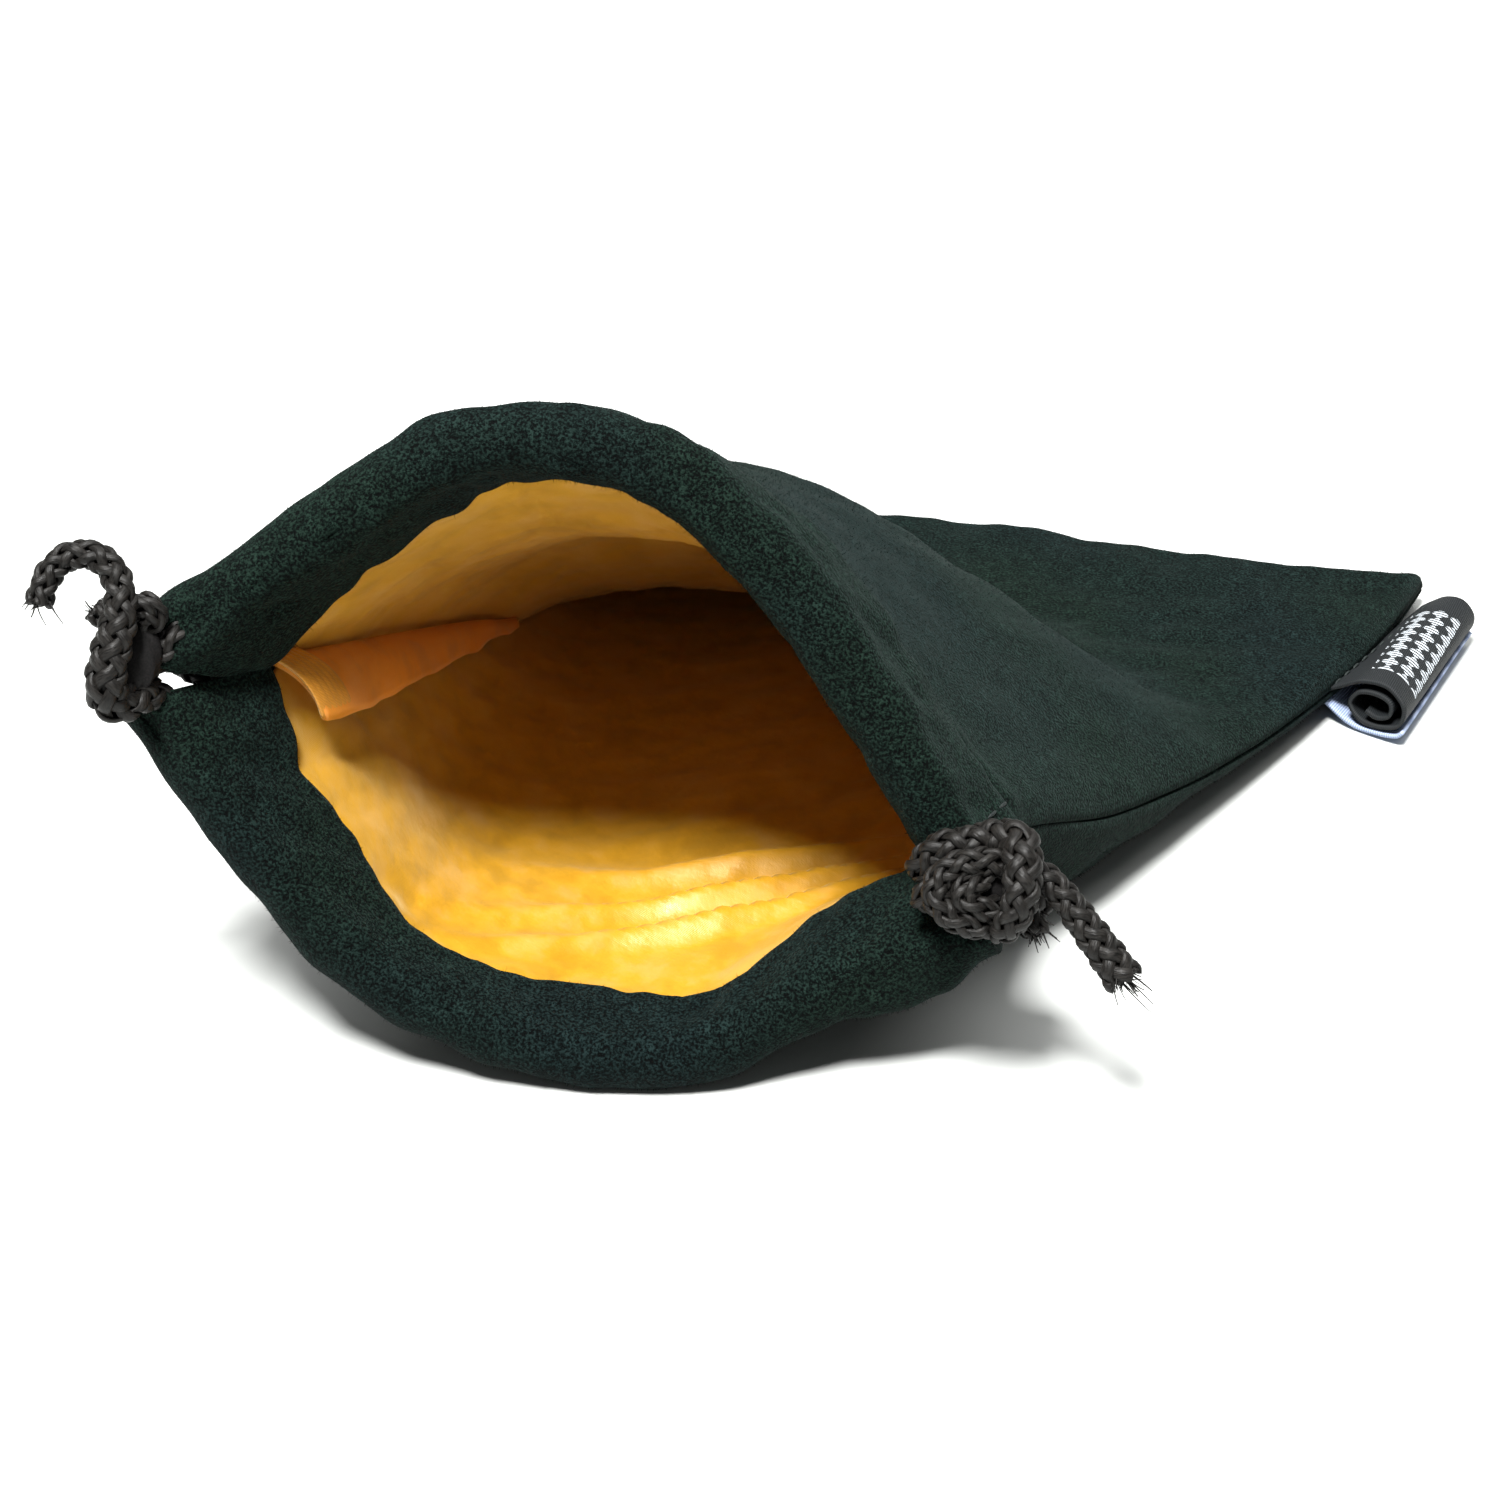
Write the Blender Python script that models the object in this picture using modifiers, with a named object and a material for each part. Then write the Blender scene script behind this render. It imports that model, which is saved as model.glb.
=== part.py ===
"""Drawstring dice bag, lying on its lower side with the mouth propped open.

The bag is sewn from two outer panels and two lining panels. The top edge of each outer
panel is folded inwards and stitched down, which makes a casing. Two drawcords run round
both casings, and each one leaves the bag at its own side seam, where its two ends are
knotted together.

Frame: metres, +Z up. The bag lies on Z = 0, its mouth faces -Y and its bottom seam is
at +Y. +X is the side that carries the woven label. The origin is under the middle of
the bag.
"""

import math

import bmesh
import bpy
import numpy as np
from mathutils import Matrix, Vector

MM = 0.001
BAG_NAME = "drawstring_dice_bag"

# ---- driving dimensions, in millimetres --------------------------------------------
SEAM_LENGTH = 105.0          # side seam, from the bottom seam to the casing stitching
CASING_WIDTH = 13.0          # casing, from its stitching to the fold at the rim
PANEL_LENGTH = SEAM_LENGTH + CASING_WIDTH
CLOTH = 1.1                  # outer cloth, with its nap
SATIN = 0.4                  # lining cloth
CORD = 3.2                   # drawcord diameter
THREAD = 0.35                # sewing thread diameter
ROLL = 2.65                  # half the distance between the two layers of a casing
LINING_INSET = 1.35          # lining, inside the outer cloth
FRONT_CORD = 9.0             # left drawcord, in front of the casing stitching
REAR_CORD = 4.1              # right drawcord, in front of the casing stitching
CORD_SINK = -0.2             # both drawcords lie this far inside the casing's middle
LOOP_END = 0.94              # a drawcord's two ends, as a share of the half width
LOOP_TURN = 0.985            # where a drawcord starts to turn back
TURN_POINTS = 6
TURN_REACH = 5.5             # length of the turn's control arms
TURN_BULGE = 3.8             # how much further the control arms stand out
THREAD_GAP = 0.5             # a thread stands this far off the cloth it is sewn through
ORIGIN = Vector((-7.2, -57.26, 0.0))   # under the middle of the bag, in sewing places

# ---- the bag's shape ----------------------------------------------------------------
# Each section crosses a panel from the left side seam to the right one, at one distance
# along the panel from the bottom seam. Seven places, evenly spaced over the cloth.
UPPER_SECTIONS = {
    0.0: [(-51, 0, 4.2), (-34, 0, 5.2), (-17, 0, 5.6), (0, 0, 5.6),
          (17, -1, 5.2), (34, -1.5, 4.8), (51, 0, 4.4)],
    18.0: [(-52.5, -18, 6.5), (-35.5, -17.5, 7.6), (-18.5, -17, 7.6), (-1.5, -17, 7.0),
           (15, -17.5, 6.2), (30.5, -17.5, 5.8), (45.5, -17.5, 5.4)],
    36.0: [(-54.5, -35, 10.0), (-39, -32, 11.5), (-24, -30, 11), (-8, -29, 9),
           (8, -30, 7.8), (23, -32, 6.9), (38.5, -33.5, 6.2)],
    50.0: [(-56, -48, 13.5), (-44, -44, 19), (-30, -41, 21), (-14, -39.5, 18.5),
           (2, -41, 14), (17.5, -44, 10), (32, -46.5, 7)],
    62.0: [(-57.5, -59.5, 19.5), (-47.5, -55.5, 29), (-34, -52, 34), (-19, -50, 33),
           (-4, -51, 27), (11, -54, 19), (26.5, -57, 8.8)],
    82.0: [(-60.5, -78, 28), (-51.5, -74, 37.5), (-39.5, -70.5, 44.5), (-25, -68, 45),
           (-10.5, -68, 37.5), (4, -70, 26), (17.5, -74, 13.5)],
    SEAM_LENGTH: [(-65, -99.5, 37.2), (-54, -94.5, 46.5), (-40.5, -90.5, 55.5),
                  (-26, -88.5, 54.5), (-13.5, -88.5, 44.5), (-2.5, -90.3, 32), (8.2, -92.5, 21.5)],
    PANEL_LENGTH: [(-71, -109.3, 43), (-57.5, -104, 52.3), (-43, -99.3, 61),
                   (-27, -97.2, 60), (-14.5, -97.8, 50.5), (-4.5, -100.2, 37.5), (4, -102.8, 23.5)],
}
LOWER_SECTIONS = {
    0.0: [(-51, 0, 0.6), (-34, 0, 0.55), (-17, 0, 0.55), (0, 0, 0.55),
          (17, -1, 0.55), (34, -1.5, 0.55), (51, 0, 0.6)],
    18.0: [(-52.5, -18, 3), (-37, -17.5, 1), (-20, -17.5, 0.55), (-3, -17.5, 0.55),
           (14, -17.5, 0.55), (30, -17.5, 0.6), (45.5, -17.5, 1.3)],
    36.0: [(-54.5, -35, 7), (-43, -35, 2.5), (-28, -34.5, 0.6), (-11, -34, 0.55),
           (6, -34, 0.55), (23, -33.5, 0.8), (38.5, -33.5, 2.3)],
    50.0: [(-56, -48, 10.5), (-46.5, -48.5, 4), (-33, -48, 0.8), (-18, -47.5, 0.55),
           (-1, -47, 0.55), (16, -46.5, 1.0), (32, -46.5, 4)],
    62.0: [(-57.5, -59.5, 16.5), (-50, -60.5, 7), (-38, -60, 1.2), (-23, -59, 0.55),
           (-7, -58, 0.55), (10, -56.5, 1.6), (26.5, -57, 5.8)],
    82.0: [(-60.5, -78, 25), (-55, -80, 13), (-45.5, -80.5, 3.8), (-31, -80, 0.55),
           (-15, -78, 0.55), (1, -75.5, 3), (17.5, -74, 10.5)],
    SEAM_LENGTH: [(-65, -99.5, 34.4), (-57.6, -102.3, 21.4), (-48.3, -104.3, 9.2),
                  (-34, -103.8, 3.9), (-18.5, -102, 3.9), (-6.2, -97.5, 11), (8.2, -92.5, 18.7)],
    PANEL_LENGTH: [(-72.5, -111, 36.3), (-62.4, -113.5, 22.8), (-50.6, -115, 10.6),
                   (-35, -115.2, 3.9), (-19, -112.8, 3.5), (-5, -107.5, 10.5), (8.8, -103.8, 15.4)],
}
UPPER = {"sections": UPPER_SECTIONS, "outward": -1.0}
LOWER = {"sections": LOWER_SECTIONS, "outward": 1.0}

COLUMNS = 21                 # grid lines across a panel
SEAM_HALF_GAP = 0.8          # from a seam's middle to the middle of each cloth
SEAM_SPAN = 0.06             # share of the half width over which a seam closes
BOTTOM_SPAN = 3.0            # distance over which the bottom seam closes
LINING_EDGE = 0.95           # the lining stops at this share of the half width
SLOPE_STEP = 1e-3            # for the surface's slopes

# ---- knots, cord ends and label, in sewing places --------------------------------------
KNOTS = {
    "left_knot": {"centre": (-71.2, -113.4, 44.9), "radii": (3.0, 2.4, 4.6), "lean": 8},
    "right_knot": {"centre": (6.0, -107.4, 24.6), "radii": (4.2, 2.5, 3.6), "lean": -18},
}
CORD_ENDS = {
    "left_tail": [(-71.4, -112.6, 51.4), (-72.4, -111.9, 53.2), (-74.5, -111.6, 53.9),
                  (-76.4, -111.9, 53.0), (-77.7, -112.5, 51.1), (-78.3, -113.2, 48.6)],
    "right_tail": [(12.2, -106.6, 24.4), (14.4, -106.0, 22.6), (16.8, -105.6, 20.4),
                   (19.2, -105.4, 17.9), (21.3, -105.4, 15.2), (22.8, -105.4, 13.0)],
    "left_stub": [(-75.2, -115.2, 45.2), (-76.1, -115.7, 46.1), (-76.8, -116.1, 47.1)],
    "right_stub": [(9.2, -108.6, 20.3), (10.6, -108.7, 18.6), (11.8, -108.8, 16.6)],
}
STUB_DIAMETER = 1.8
LABEL_START = Vector((39.6, -29.8, 3.0))
LABEL_END = Vector((51.6, -5.6, 2.6))
LABEL_TAPE = 0.5             # thickness of the woven tape
# The folded tape's section: distance out from the seam, and height over the seam.
LABEL_NEAR = [(1.0, 0.65), (3.0, 2.2), (6.5, 4.4), (10.5, 4.3), (13.2, 1.9),
              (12.6, -1.2), (9.5, -2.2), (5.5, -1.9), (3.0, -1.3), (1.0, -0.65)]
LABEL_FAR = [(1.0, 0.65), (2.2, 1.8), (4.2, 3.2), (6.6, 3.3), (8.4, 1.4),
             (8.0, -0.8), (6.2, -1.6), (4.2, -1.6), (2.4, -1.2), (1.0, -0.65)]

COLOURS = {
    "nap_cloth": ((0.012, 0.026, 0.022), 0.95),
    "gold_satin": ((0.62, 0.36, 0.07), 0.35),
    "cord_yarn": ((0.020, 0.017, 0.016), 0.45),
    "label_weave": ((0.016, 0.018, 0.020), 0.70),
    "black_thread": ((0.010, 0.014, 0.013), 0.60),
}


# ---- helpers ------------------------------------------------------------------------
def clear_scene():
    for item in list(bpy.data.objects):
        bpy.data.objects.remove(item, do_unlink=True)


def material(name):
    found = bpy.data.materials.get(name)
    if found:
        return found
    colour, roughness = COLOURS[name]
    made = bpy.data.materials.new(name)
    made.use_nodes = True
    shader = made.node_tree.nodes["Principled BSDF"]
    shader.inputs["Base Color"].default_value = (*colour, 1.0)
    shader.inputs["Roughness"].default_value = roughness
    shader.inputs["Metallic"].default_value = 0.0
    return made


def to_world(place):
    """A place in sewing millimetres, as a world place in metres."""
    return (Vector(place) - ORIGIN) * MM


def spline(knots, values, at):
    """A smooth curve through values, which stand at knots."""
    knots = np.asarray(knots, float)
    values = np.asarray(values, float)
    slopes = np.gradient(values, knots, axis=0)
    index = int(np.clip(np.searchsorted(knots, at) - 1, 0, len(knots) - 2))
    span = knots[index + 1] - knots[index]
    u = (at - knots[index]) / span
    return (values[index] * (2 * u**3 - 3 * u**2 + 1)
            + values[index + 1] * (3 * u**2 - 2 * u**3)
            + slopes[index] * span * (u**3 - 2 * u**2 + u)
            + slopes[index + 1] * span * (u**3 - u**2))


def ease(share):
    share = min(max(share, 0.0), 1.0)
    return share * share * (3 - 2 * share)


def on_panel(panel, across, along):
    """The panel's middle surface, in sewing millimetres."""
    sections = panel["sections"]
    places = np.linspace(-1.0, 1.0, 7)
    crossed = [spline(places, row, across) for row in sections.values()]
    return spline(list(sections), crossed, along)


def seam_place(across, along):
    """Halfway between the two panels."""
    return (on_panel(UPPER, across, along) + on_panel(LOWER, across, along)) / 2


def outward(panel, across, along):
    """The panel's outward direction."""
    centre_across = min(max(across, SLOPE_STEP - 1), 1 - SLOPE_STEP)
    centre_along = min(max(along, SLOPE_STEP), PANEL_LENGTH - SLOPE_STEP)
    side = (on_panel(panel, centre_across + SLOPE_STEP, centre_along)
            - on_panel(panel, centre_across - SLOPE_STEP, centre_along))
    ahead = (on_panel(panel, centre_across, centre_along + SLOPE_STEP)
             - on_panel(panel, centre_across, centre_along - SLOPE_STEP))
    normal = np.cross(side, ahead) * panel["outward"]
    return normal / np.linalg.norm(normal)


def offset_place(panel, across, along, height):
    """A place at a height outside the panel's middle surface, in sewing millimetres."""
    return on_panel(panel, across, along) + outward(panel, across, along) * height


def make_object(name, data, finish, parts):
    made = bpy.data.objects.new(name, data)
    made.data.materials.append(material(finish))
    parts.objects.link(made)
    return made


def grid_mesh(name, rows, flip):
    """A sheet from rows of places, in world metres. flip turns its faces over."""
    work = bmesh.new()
    verts = [[work.verts.new(to_world(place)) for place in row] for row in rows]
    for low, high in zip(verts, verts[1:]):
        for k in range(len(low) - 1):
            corners = [low[k], low[k + 1], high[k + 1], high[k]]
            work.faces.new(corners[::-1] if flip else corners)
    mesh = bpy.data.meshes.new(name)
    work.to_mesh(mesh)
    work.free()
    mesh.shade_smooth()
    return mesh


def add_thickness(item, millimetres):
    shell = item.modifiers.new("cloth_thickness", "SOLIDIFY")
    shell.thickness = millimetres * MM
    shell.offset = 0.0


def tube(name, places, diameter, finish, parts, sides=2):
    """A tube along places, in sewing millimetres, with closed ends."""
    data = bpy.data.curves.new(name, "CURVE")
    data.dimensions = "3D"
    data.bevel_depth = diameter * MM / 2
    data.bevel_resolution = sides
    data.resolution_u = 1
    data.render_resolution_u = 0
    data.use_fill_caps = True
    line = data.splines.new("POLY")
    line.points.add(len(places) - 1)
    for point, place in zip(line.points, places):
        point.co = (*to_world(place), 1.0)
    return make_object(name, data, finish, parts)


def smooth_route(points, count):
    """count places on a smooth curve through a route's points."""
    lengths = [math.dist(a, b) for a, b in zip(points, points[1:])]
    knots = np.concatenate([[0.0], np.cumsum(lengths)])
    return [spline(knots, points, at) for at in np.linspace(0.0, knots[-1], count)]


# ---- cloth --------------------------------------------------------------------------
def casing_profile():
    """Along and height of the outer cloth, from the bottom seam round the rim's fold."""
    body = [(along, 0.0) for along in (0.0, 1.5, 4, 11, 18, 27, 36, 43, 50, 56, 62, 69, 76, 82, 89, 96)]
    rise = [(SEAM_LENGTH + step, ROLL * ease((step + 3) / 6)) for step in (-3, -1, 1, 3)]
    outer_leaf = [(SEAM_LENGTH + 7, ROLL)]
    middle = PANEL_LENGTH - ROLL
    fold = [(middle + ROLL * math.cos(turn), ROLL * math.sin(turn))
            for turn in np.linspace(math.pi / 2, -math.pi / 2, 7)]
    inner_leaf = [(SEAM_LENGTH + 7, -ROLL), (SEAM_LENGTH + 4, -ROLL),
                  (SEAM_LENGTH + 2.2, -2.1), (SEAM_LENGTH + 0.6, -1.3)]
    return body + rise + outer_leaf + fold + inner_leaf


def seam_closure(across, along):
    """How far the outer cloth is drawn in to the seams: 0 on the panel, 1 at its edge."""
    side = ease((abs(across) - 1 + SEAM_SPAN) / SEAM_SPAN)
    side *= 1 - ease((along - SEAM_LENGTH + 6) / 6)
    bottom = ease(1 - along / BOTTOM_SPAN)
    return max(side, bottom)


def drawn_in(place, across, along):
    """A place on the outer cloth, drawn in towards the seam between the two panels."""
    pull = seam_closure(across, along)
    if pull == 0.0:
        return place
    middle = seam_place(across, along)
    gap = place - middle
    closed = middle + gap / np.linalg.norm(gap) * SEAM_HALF_GAP
    return place + (closed - place) * pull


def across_lines(edge):
    """Grid lines across a panel, closer together at its edges."""
    even = np.linspace(-1.0, 1.0, COLUMNS)
    close = np.array([-0.985, -0.965, 0.965, 0.985])
    return sorted(np.concatenate([even, close]) * edge)


def outer_panel(name, panel, parts):
    rows = []
    for along, height in casing_profile():
        row = []
        for across in across_lines(1.0):
            place = offset_place(panel, across, along, height)
            place = drawn_in(place, across, along)
            place[2] = max(place[2], CLOTH / 2)
            row.append(place)
        rows.append(row)
    mesh = grid_mesh(name, rows, flip=panel["outward"] < 0)
    made = make_object(name, mesh, "nap_cloth", parts)
    add_thickness(made, CLOTH)
    return made


def lining_droop(panel, across, along):
    """The upper lining hangs free behind the casing, between its seams."""
    if panel is LOWER:
        return 0.0
    reach = math.sin(math.pi * min(max((SEAM_LENGTH - along) / 55, 0), 1))
    return 7.0 * reach * (1 - across * across) ** 2


def lining_panel(name, panel, parts):
    alongs = (3.5, 11, 18, 27, 36, 43, 50, 56, 62, 69, 76, 82, 89, 96, 101, SEAM_LENGTH - 0.6)
    rows = []
    for along in alongs:
        row = []
        for across in across_lines(LINING_EDGE):
            inset = LINING_INSET + lining_droop(panel, across, along)
            row.append(offset_place(panel, across, along, -inset))
        rows.append(row)
    mesh = grid_mesh(name, rows, flip=panel["outward"] < 0)
    made = make_object(name, mesh, "gold_satin", parts)
    add_thickness(made, SATIN)
    return made


def seam_allowance(name, side, width, lean, parts):
    """The lining's sewn edges, a narrow flap that stands into the bag along a side seam."""
    rows = []
    for along in np.linspace(58.0, SEAM_LENGTH - 2.0, 9):
        grown = width * ease((along - 50) / 45)
        root = seam_place(side, along) + np.array([-side * 3.6, 0.0, 0.0])
        inward = np.array([-side * math.cos(lean), 0.0, -math.sin(lean)])
        rows.append([root + inward * grown * share for share in (0.0, 0.35, 0.7, 1.0)])
    mesh = grid_mesh(name, rows, flip=False)
    made = make_object(name, mesh, "gold_satin", parts)
    add_thickness(made, 2 * SATIN)
    return made


# ---- drawcords ----------------------------------------------------------------------
def casing_run(panel, along, start, end, count):
    return [offset_place(panel, across, along, CORD_SINK) for across in np.linspace(start, end, count)]


def along_end(before, end):
    """The direction in which a run leaves through its end."""
    return (end - before) / np.linalg.norm(end - before)


def bezier(points, share):
    rest = 1 - share
    weights = (rest**3, 3 * rest**2 * share, 3 * rest * share**2, share**3)
    return sum(weight * point for weight, point in zip(weights, points))


def drawcord_loop(name, along, knot_side, parts):
    """One drawcord inside both casings. It turns back at the side away from its knot."""
    far = -knot_side
    upper_run = casing_run(UPPER, along, knot_side * LOOP_END, far * LOOP_TURN, 30)
    lower_run = casing_run(LOWER, along, far * LOOP_TURN, knot_side * LOOP_END, 30)
    bulge = np.array([far * TURN_BULGE, 0.0, 0.0])
    top_arm = upper_run[-1] + along_end(upper_run[-2], upper_run[-1]) * TURN_REACH + bulge
    bottom_arm = lower_run[0] + along_end(lower_run[1], lower_run[0]) * TURN_REACH + bulge
    turn = [bezier((upper_run[-1], top_arm, bottom_arm, lower_run[0]), share)
            for share in np.linspace(0.0, 1.0, TURN_POINTS + 2)[1:-1]]
    return tube(name, upper_run + turn + lower_run, CORD, "cord_yarn", parts)


def knot(name, parts):
    """A drawcord's overhand knot, as one rounded solid. Its origin is its middle."""
    form = KNOTS[name]
    work = bmesh.new()
    bmesh.ops.create_uvsphere(work, u_segments=16, v_segments=10, radius=MM)
    bmesh.ops.scale(work, vec=Vector(form["radii"]), verts=work.verts)
    mesh = bpy.data.meshes.new(name)
    work.to_mesh(mesh)
    work.free()
    mesh.shade_smooth()
    made = make_object(name, mesh, "cord_yarn", parts)
    made.location = to_world(form["centre"])
    made.rotation_euler = (0.0, math.radians(form["lean"]), 0.0)
    return made


# ---- label --------------------------------------------------------------------------
def woven_label(parts):
    """A folded tape, sewn into the right side seam. Its origin lies on the seam."""
    axis = (LABEL_END - LABEL_START).normalized()
    out = axis.cross(Vector((0.0, 0.0, 1.0))).normalized()
    up = out.cross(axis)
    near = np.array(smooth_route(LABEL_NEAR, 22))
    far = np.array(smooth_route(LABEL_FAR, 22))
    rows = []
    for share in np.linspace(0.0, 1.0, 7):
        root = LABEL_START.lerp(LABEL_END, share)
        section = near * (1 - share) + far * share
        rows.append([root + out * reach + up * rise for reach, rise in section])
    mesh = grid_mesh("woven_label", rows, flip=True)
    mesh.transform(Matrix.Translation(-to_world(LABEL_START)))
    made = make_object("woven_label", mesh, "label_weave", parts)
    made.location = to_world(LABEL_START)
    add_thickness(made, LABEL_TAPE)
    return made


def label_stitching(parts):
    axis = (LABEL_END - LABEL_START).normalized()
    out = axis.cross(Vector((0.0, 0.0, 1.0))).normalized()
    up = out.cross(axis)
    lift = out * 2.0 + up * 2.6
    places = [LABEL_START.lerp(LABEL_END, share) + lift for share in (0.04, 0.35, 0.65, 0.96)]
    return tube("label_stitching", places, THREAD, "black_thread", parts, sides=1)


# ---- sewing threads -----------------------------------------------------------------
def side_seam_thread(name, side, start, parts):
    """The stitches of a side seam, from a distance along it up to the casings."""
    beside = np.array([side * (THREAD_GAP + THREAD), 0.0, 0.0])
    places = [seam_place(side, along) + beside for along in np.linspace(start, 98.0, 20)]
    return tube(name, places, THREAD, "black_thread", parts, sides=1)


def bottom_seam_thread(parts):
    behind = np.array([0.0, THREAD_GAP + THREAD + 0.3, 0.0])
    places = [seam_place(across, 0.0) + behind for across in np.linspace(-0.94, 0.94, 12)]
    return tube("bottom_seam_thread", places, THREAD, "black_thread", parts, sides=1)


def casing_stitching(name, panel, parts):
    """The line of stitches that closes a casing, on the outside of the bag."""
    height = ROLL / 2 + CLOTH / 2 + THREAD_GAP + THREAD / 2
    places = [offset_place(panel, across, SEAM_LENGTH, height)
              for across in np.linspace(-0.9, 0.9, 30)]
    return tube(name, places, THREAD, "black_thread", parts, sides=1)


def casing_end_stitching(name, panel, side, parts):
    """The stitches that hem one end of a casing."""
    height = ROLL + CLOTH / 2 + THREAD_GAP + THREAD / 2
    places = [offset_place(panel, side * 0.95, along, height) for along in (109.0, 111.0, 113.0, 115.0)]
    return tube(name, places, THREAD, "black_thread", parts, sides=1)


# ---- build --------------------------------------------------------------------------
def build():
    clear_scene()
    parts = bpy.data.collections.new(BAG_NAME)
    bpy.context.scene.collection.children.link(parts)
    outer_panel("outer_upper_panel", UPPER, parts)
    outer_panel("outer_lower_panel", LOWER, parts)
    lining_panel("lining_upper_panel", UPPER, parts)
    lining_panel("lining_lower_panel", LOWER, parts)
    seam_allowance("left_seam_allowance", -1, 11.0, math.radians(38), parts)
    seam_allowance("right_seam_allowance", 1, 7.0, math.radians(5), parts)
    drawcord_loop("left_drawcord", SEAM_LENGTH + FRONT_CORD, -1, parts)
    drawcord_loop("right_drawcord", SEAM_LENGTH + REAR_CORD, 1, parts)
    for name in KNOTS:
        knot(name, parts)
    for name, route in CORD_ENDS.items():
        diameter = STUB_DIAMETER if "stub" in name else CORD
        tube(name, smooth_route(route, len(route)), diameter, "cord_yarn", parts)
    woven_label(parts)
    label_stitching(parts)
    side_seam_thread("left_seam_thread", -1, 5.0, parts)
    side_seam_thread("right_seam_thread", 1, 40.0, parts)
    bottom_seam_thread(parts)
    casing_stitching("upper_casing_stitching", UPPER, parts)
    casing_stitching("lower_casing_stitching", LOWER, parts)
    casing_end_stitching("upper_left_end_stitching", UPPER, -1, parts)
    casing_end_stitching("upper_right_end_stitching", UPPER, 1, parts)
    casing_end_stitching("lower_left_end_stitching", LOWER, -1, parts)
    casing_end_stitching("lower_right_end_stitching", LOWER, 1, parts)


build()
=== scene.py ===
"""Drawstring dice bag: the visual model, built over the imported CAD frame.

The bag is sewn from two napped outer panels and two satin lining panels. Each outer
panel's top edge folds into a casing. Two braided drawcords run round both casings and
are knotted outside the side seams.

Shapes are worked out in sewing places: millimetres, with the bottom seam's middle at
the origin, X along that seam towards the labelled side, and Z up from the table.
"""

import math

import bpy
import numpy as np
from mathutils import Matrix, Vector

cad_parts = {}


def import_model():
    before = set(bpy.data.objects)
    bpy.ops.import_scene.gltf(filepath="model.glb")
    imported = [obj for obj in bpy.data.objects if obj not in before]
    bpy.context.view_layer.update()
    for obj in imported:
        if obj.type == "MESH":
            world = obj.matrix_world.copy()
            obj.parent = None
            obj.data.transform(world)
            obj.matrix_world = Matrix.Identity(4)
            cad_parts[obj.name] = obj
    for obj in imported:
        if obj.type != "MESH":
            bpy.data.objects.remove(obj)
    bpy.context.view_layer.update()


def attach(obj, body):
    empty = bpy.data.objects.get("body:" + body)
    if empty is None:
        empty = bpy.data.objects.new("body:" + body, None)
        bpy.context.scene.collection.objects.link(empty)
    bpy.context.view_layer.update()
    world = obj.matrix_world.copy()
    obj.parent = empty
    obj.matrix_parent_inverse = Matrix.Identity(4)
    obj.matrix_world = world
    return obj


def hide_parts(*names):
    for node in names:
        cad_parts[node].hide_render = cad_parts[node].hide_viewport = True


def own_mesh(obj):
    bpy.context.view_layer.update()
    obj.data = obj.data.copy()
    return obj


MM = 0.001
ORIGIN = np.array([-7.2, -57.26, 0.0])   # the row frame's origin, in sewing places

# ---- camera
CAMERA_PLACE = np.array([25.4, -301.3, 163.5])
CAMERA_FORWARD = Vector((-0.168, 0.825, -0.539)).normalized()
CAMERA_UP_HINT = Vector((-0.108, 0.528, 0.842))
CAMERA_LENS = 62.4
CAMERA_CLIP = 0.01           # metres
VIEW_RIGHT = CAMERA_FORWARD.cross(CAMERA_UP_HINT).normalized()
VIEW_UP = VIEW_RIGHT.cross(CAMERA_FORWARD)
VIEW_AXES = np.array([VIEW_RIGHT, VIEW_UP, -CAMERA_FORWARD])

# ---- light
SKY_STRENGTH = 0.13
SKY_COLOUR = (0.97, 1.0, 0.985, 1)
LIGHTS = [("key", (-0.10, -0.37, 0.92), 0.26, 27.0),     # name, place, diameter, watts
          ("rear", (0.05, 0.38, 1.00), 1.60, 13.0)]
LIGHT_TARGET = (0.0, -0.02, 0.02)
LIGHT_COLOUR = (1.0, 0.995, 0.98)
TABLE_SIZE = 6.0
TABLE_LEVEL = -0.0002        # a hair under the bag, so that the two never share a face

# ---- cloth, in millimetres
SEAM_LENGTH = 105.0          # side seam, from the bottom seam to the casing stitching
CASING_WIDTH = 13.0          # casing, from its stitching to the fold at the rim
PANEL_LENGTH = SEAM_LENGTH + CASING_WIDTH
HALF_WIDTH = 51.0
CLOTH = 1.1                  # outer cloth, with the root of its nap
SATIN = 0.35
SATIN_PAINTED_HIGHLIGHT = 0.035       # painted highlight: how far the satin's brightest threads go towards white
ROLL = 2.65                  # half the distance between the two layers of a casing
LINING_INSET = 1.35
LINING_REACH = 0.965         # share of the half width at which the lining ends
SEAM_HALF_GAP = 0.12         # from a seam's middle to the middle of each cloth
SEAM_ROUNDING = 2.4          # the cloth rolls into a seam over this distance
OPEN_FROM = 101.0            # the side seams start to open here, towards the casings
OPEN_TO = 106.5
HEM_WAVE = 1.0               # how far the hem wanders
HEM_PLACES = (-1.0, -0.8, -0.5, -0.2, 0.1, 0.4, 0.7, 1.0)
CORNER_FULL = 1.0            # the casings fill out towards each other at the left corner
UPPER_FULL = 2.6             # the upper panel swells outward beside its casing
SIDE_FULL = 4.6              # the lower panel is fuller beside the right seam
RIGHT_END_FLAT = 1.6         # and its casing flatter at the right end
LOWER_FOLDS = (              # place along the bag, slant, width and height of each fold
    (95.5, 0.30, 1.0, 2.3),
    (90.0, 0.34, 1.2, 2.6),
    (82.0, 0.30, 1.9, 2.4),
)
FLAPS = {"left": {"side": -1, "width": 8.2, "lean": math.radians(34)},
         "right": {"side": 1, "width": 5.5, "lean": math.radians(8)}}
OUTER_COLUMNS = 211
LINING_COLUMNS = 161
LINING_ROWS = 181
FIBRE_COUNT = 46000          # on each outer panel

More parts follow.
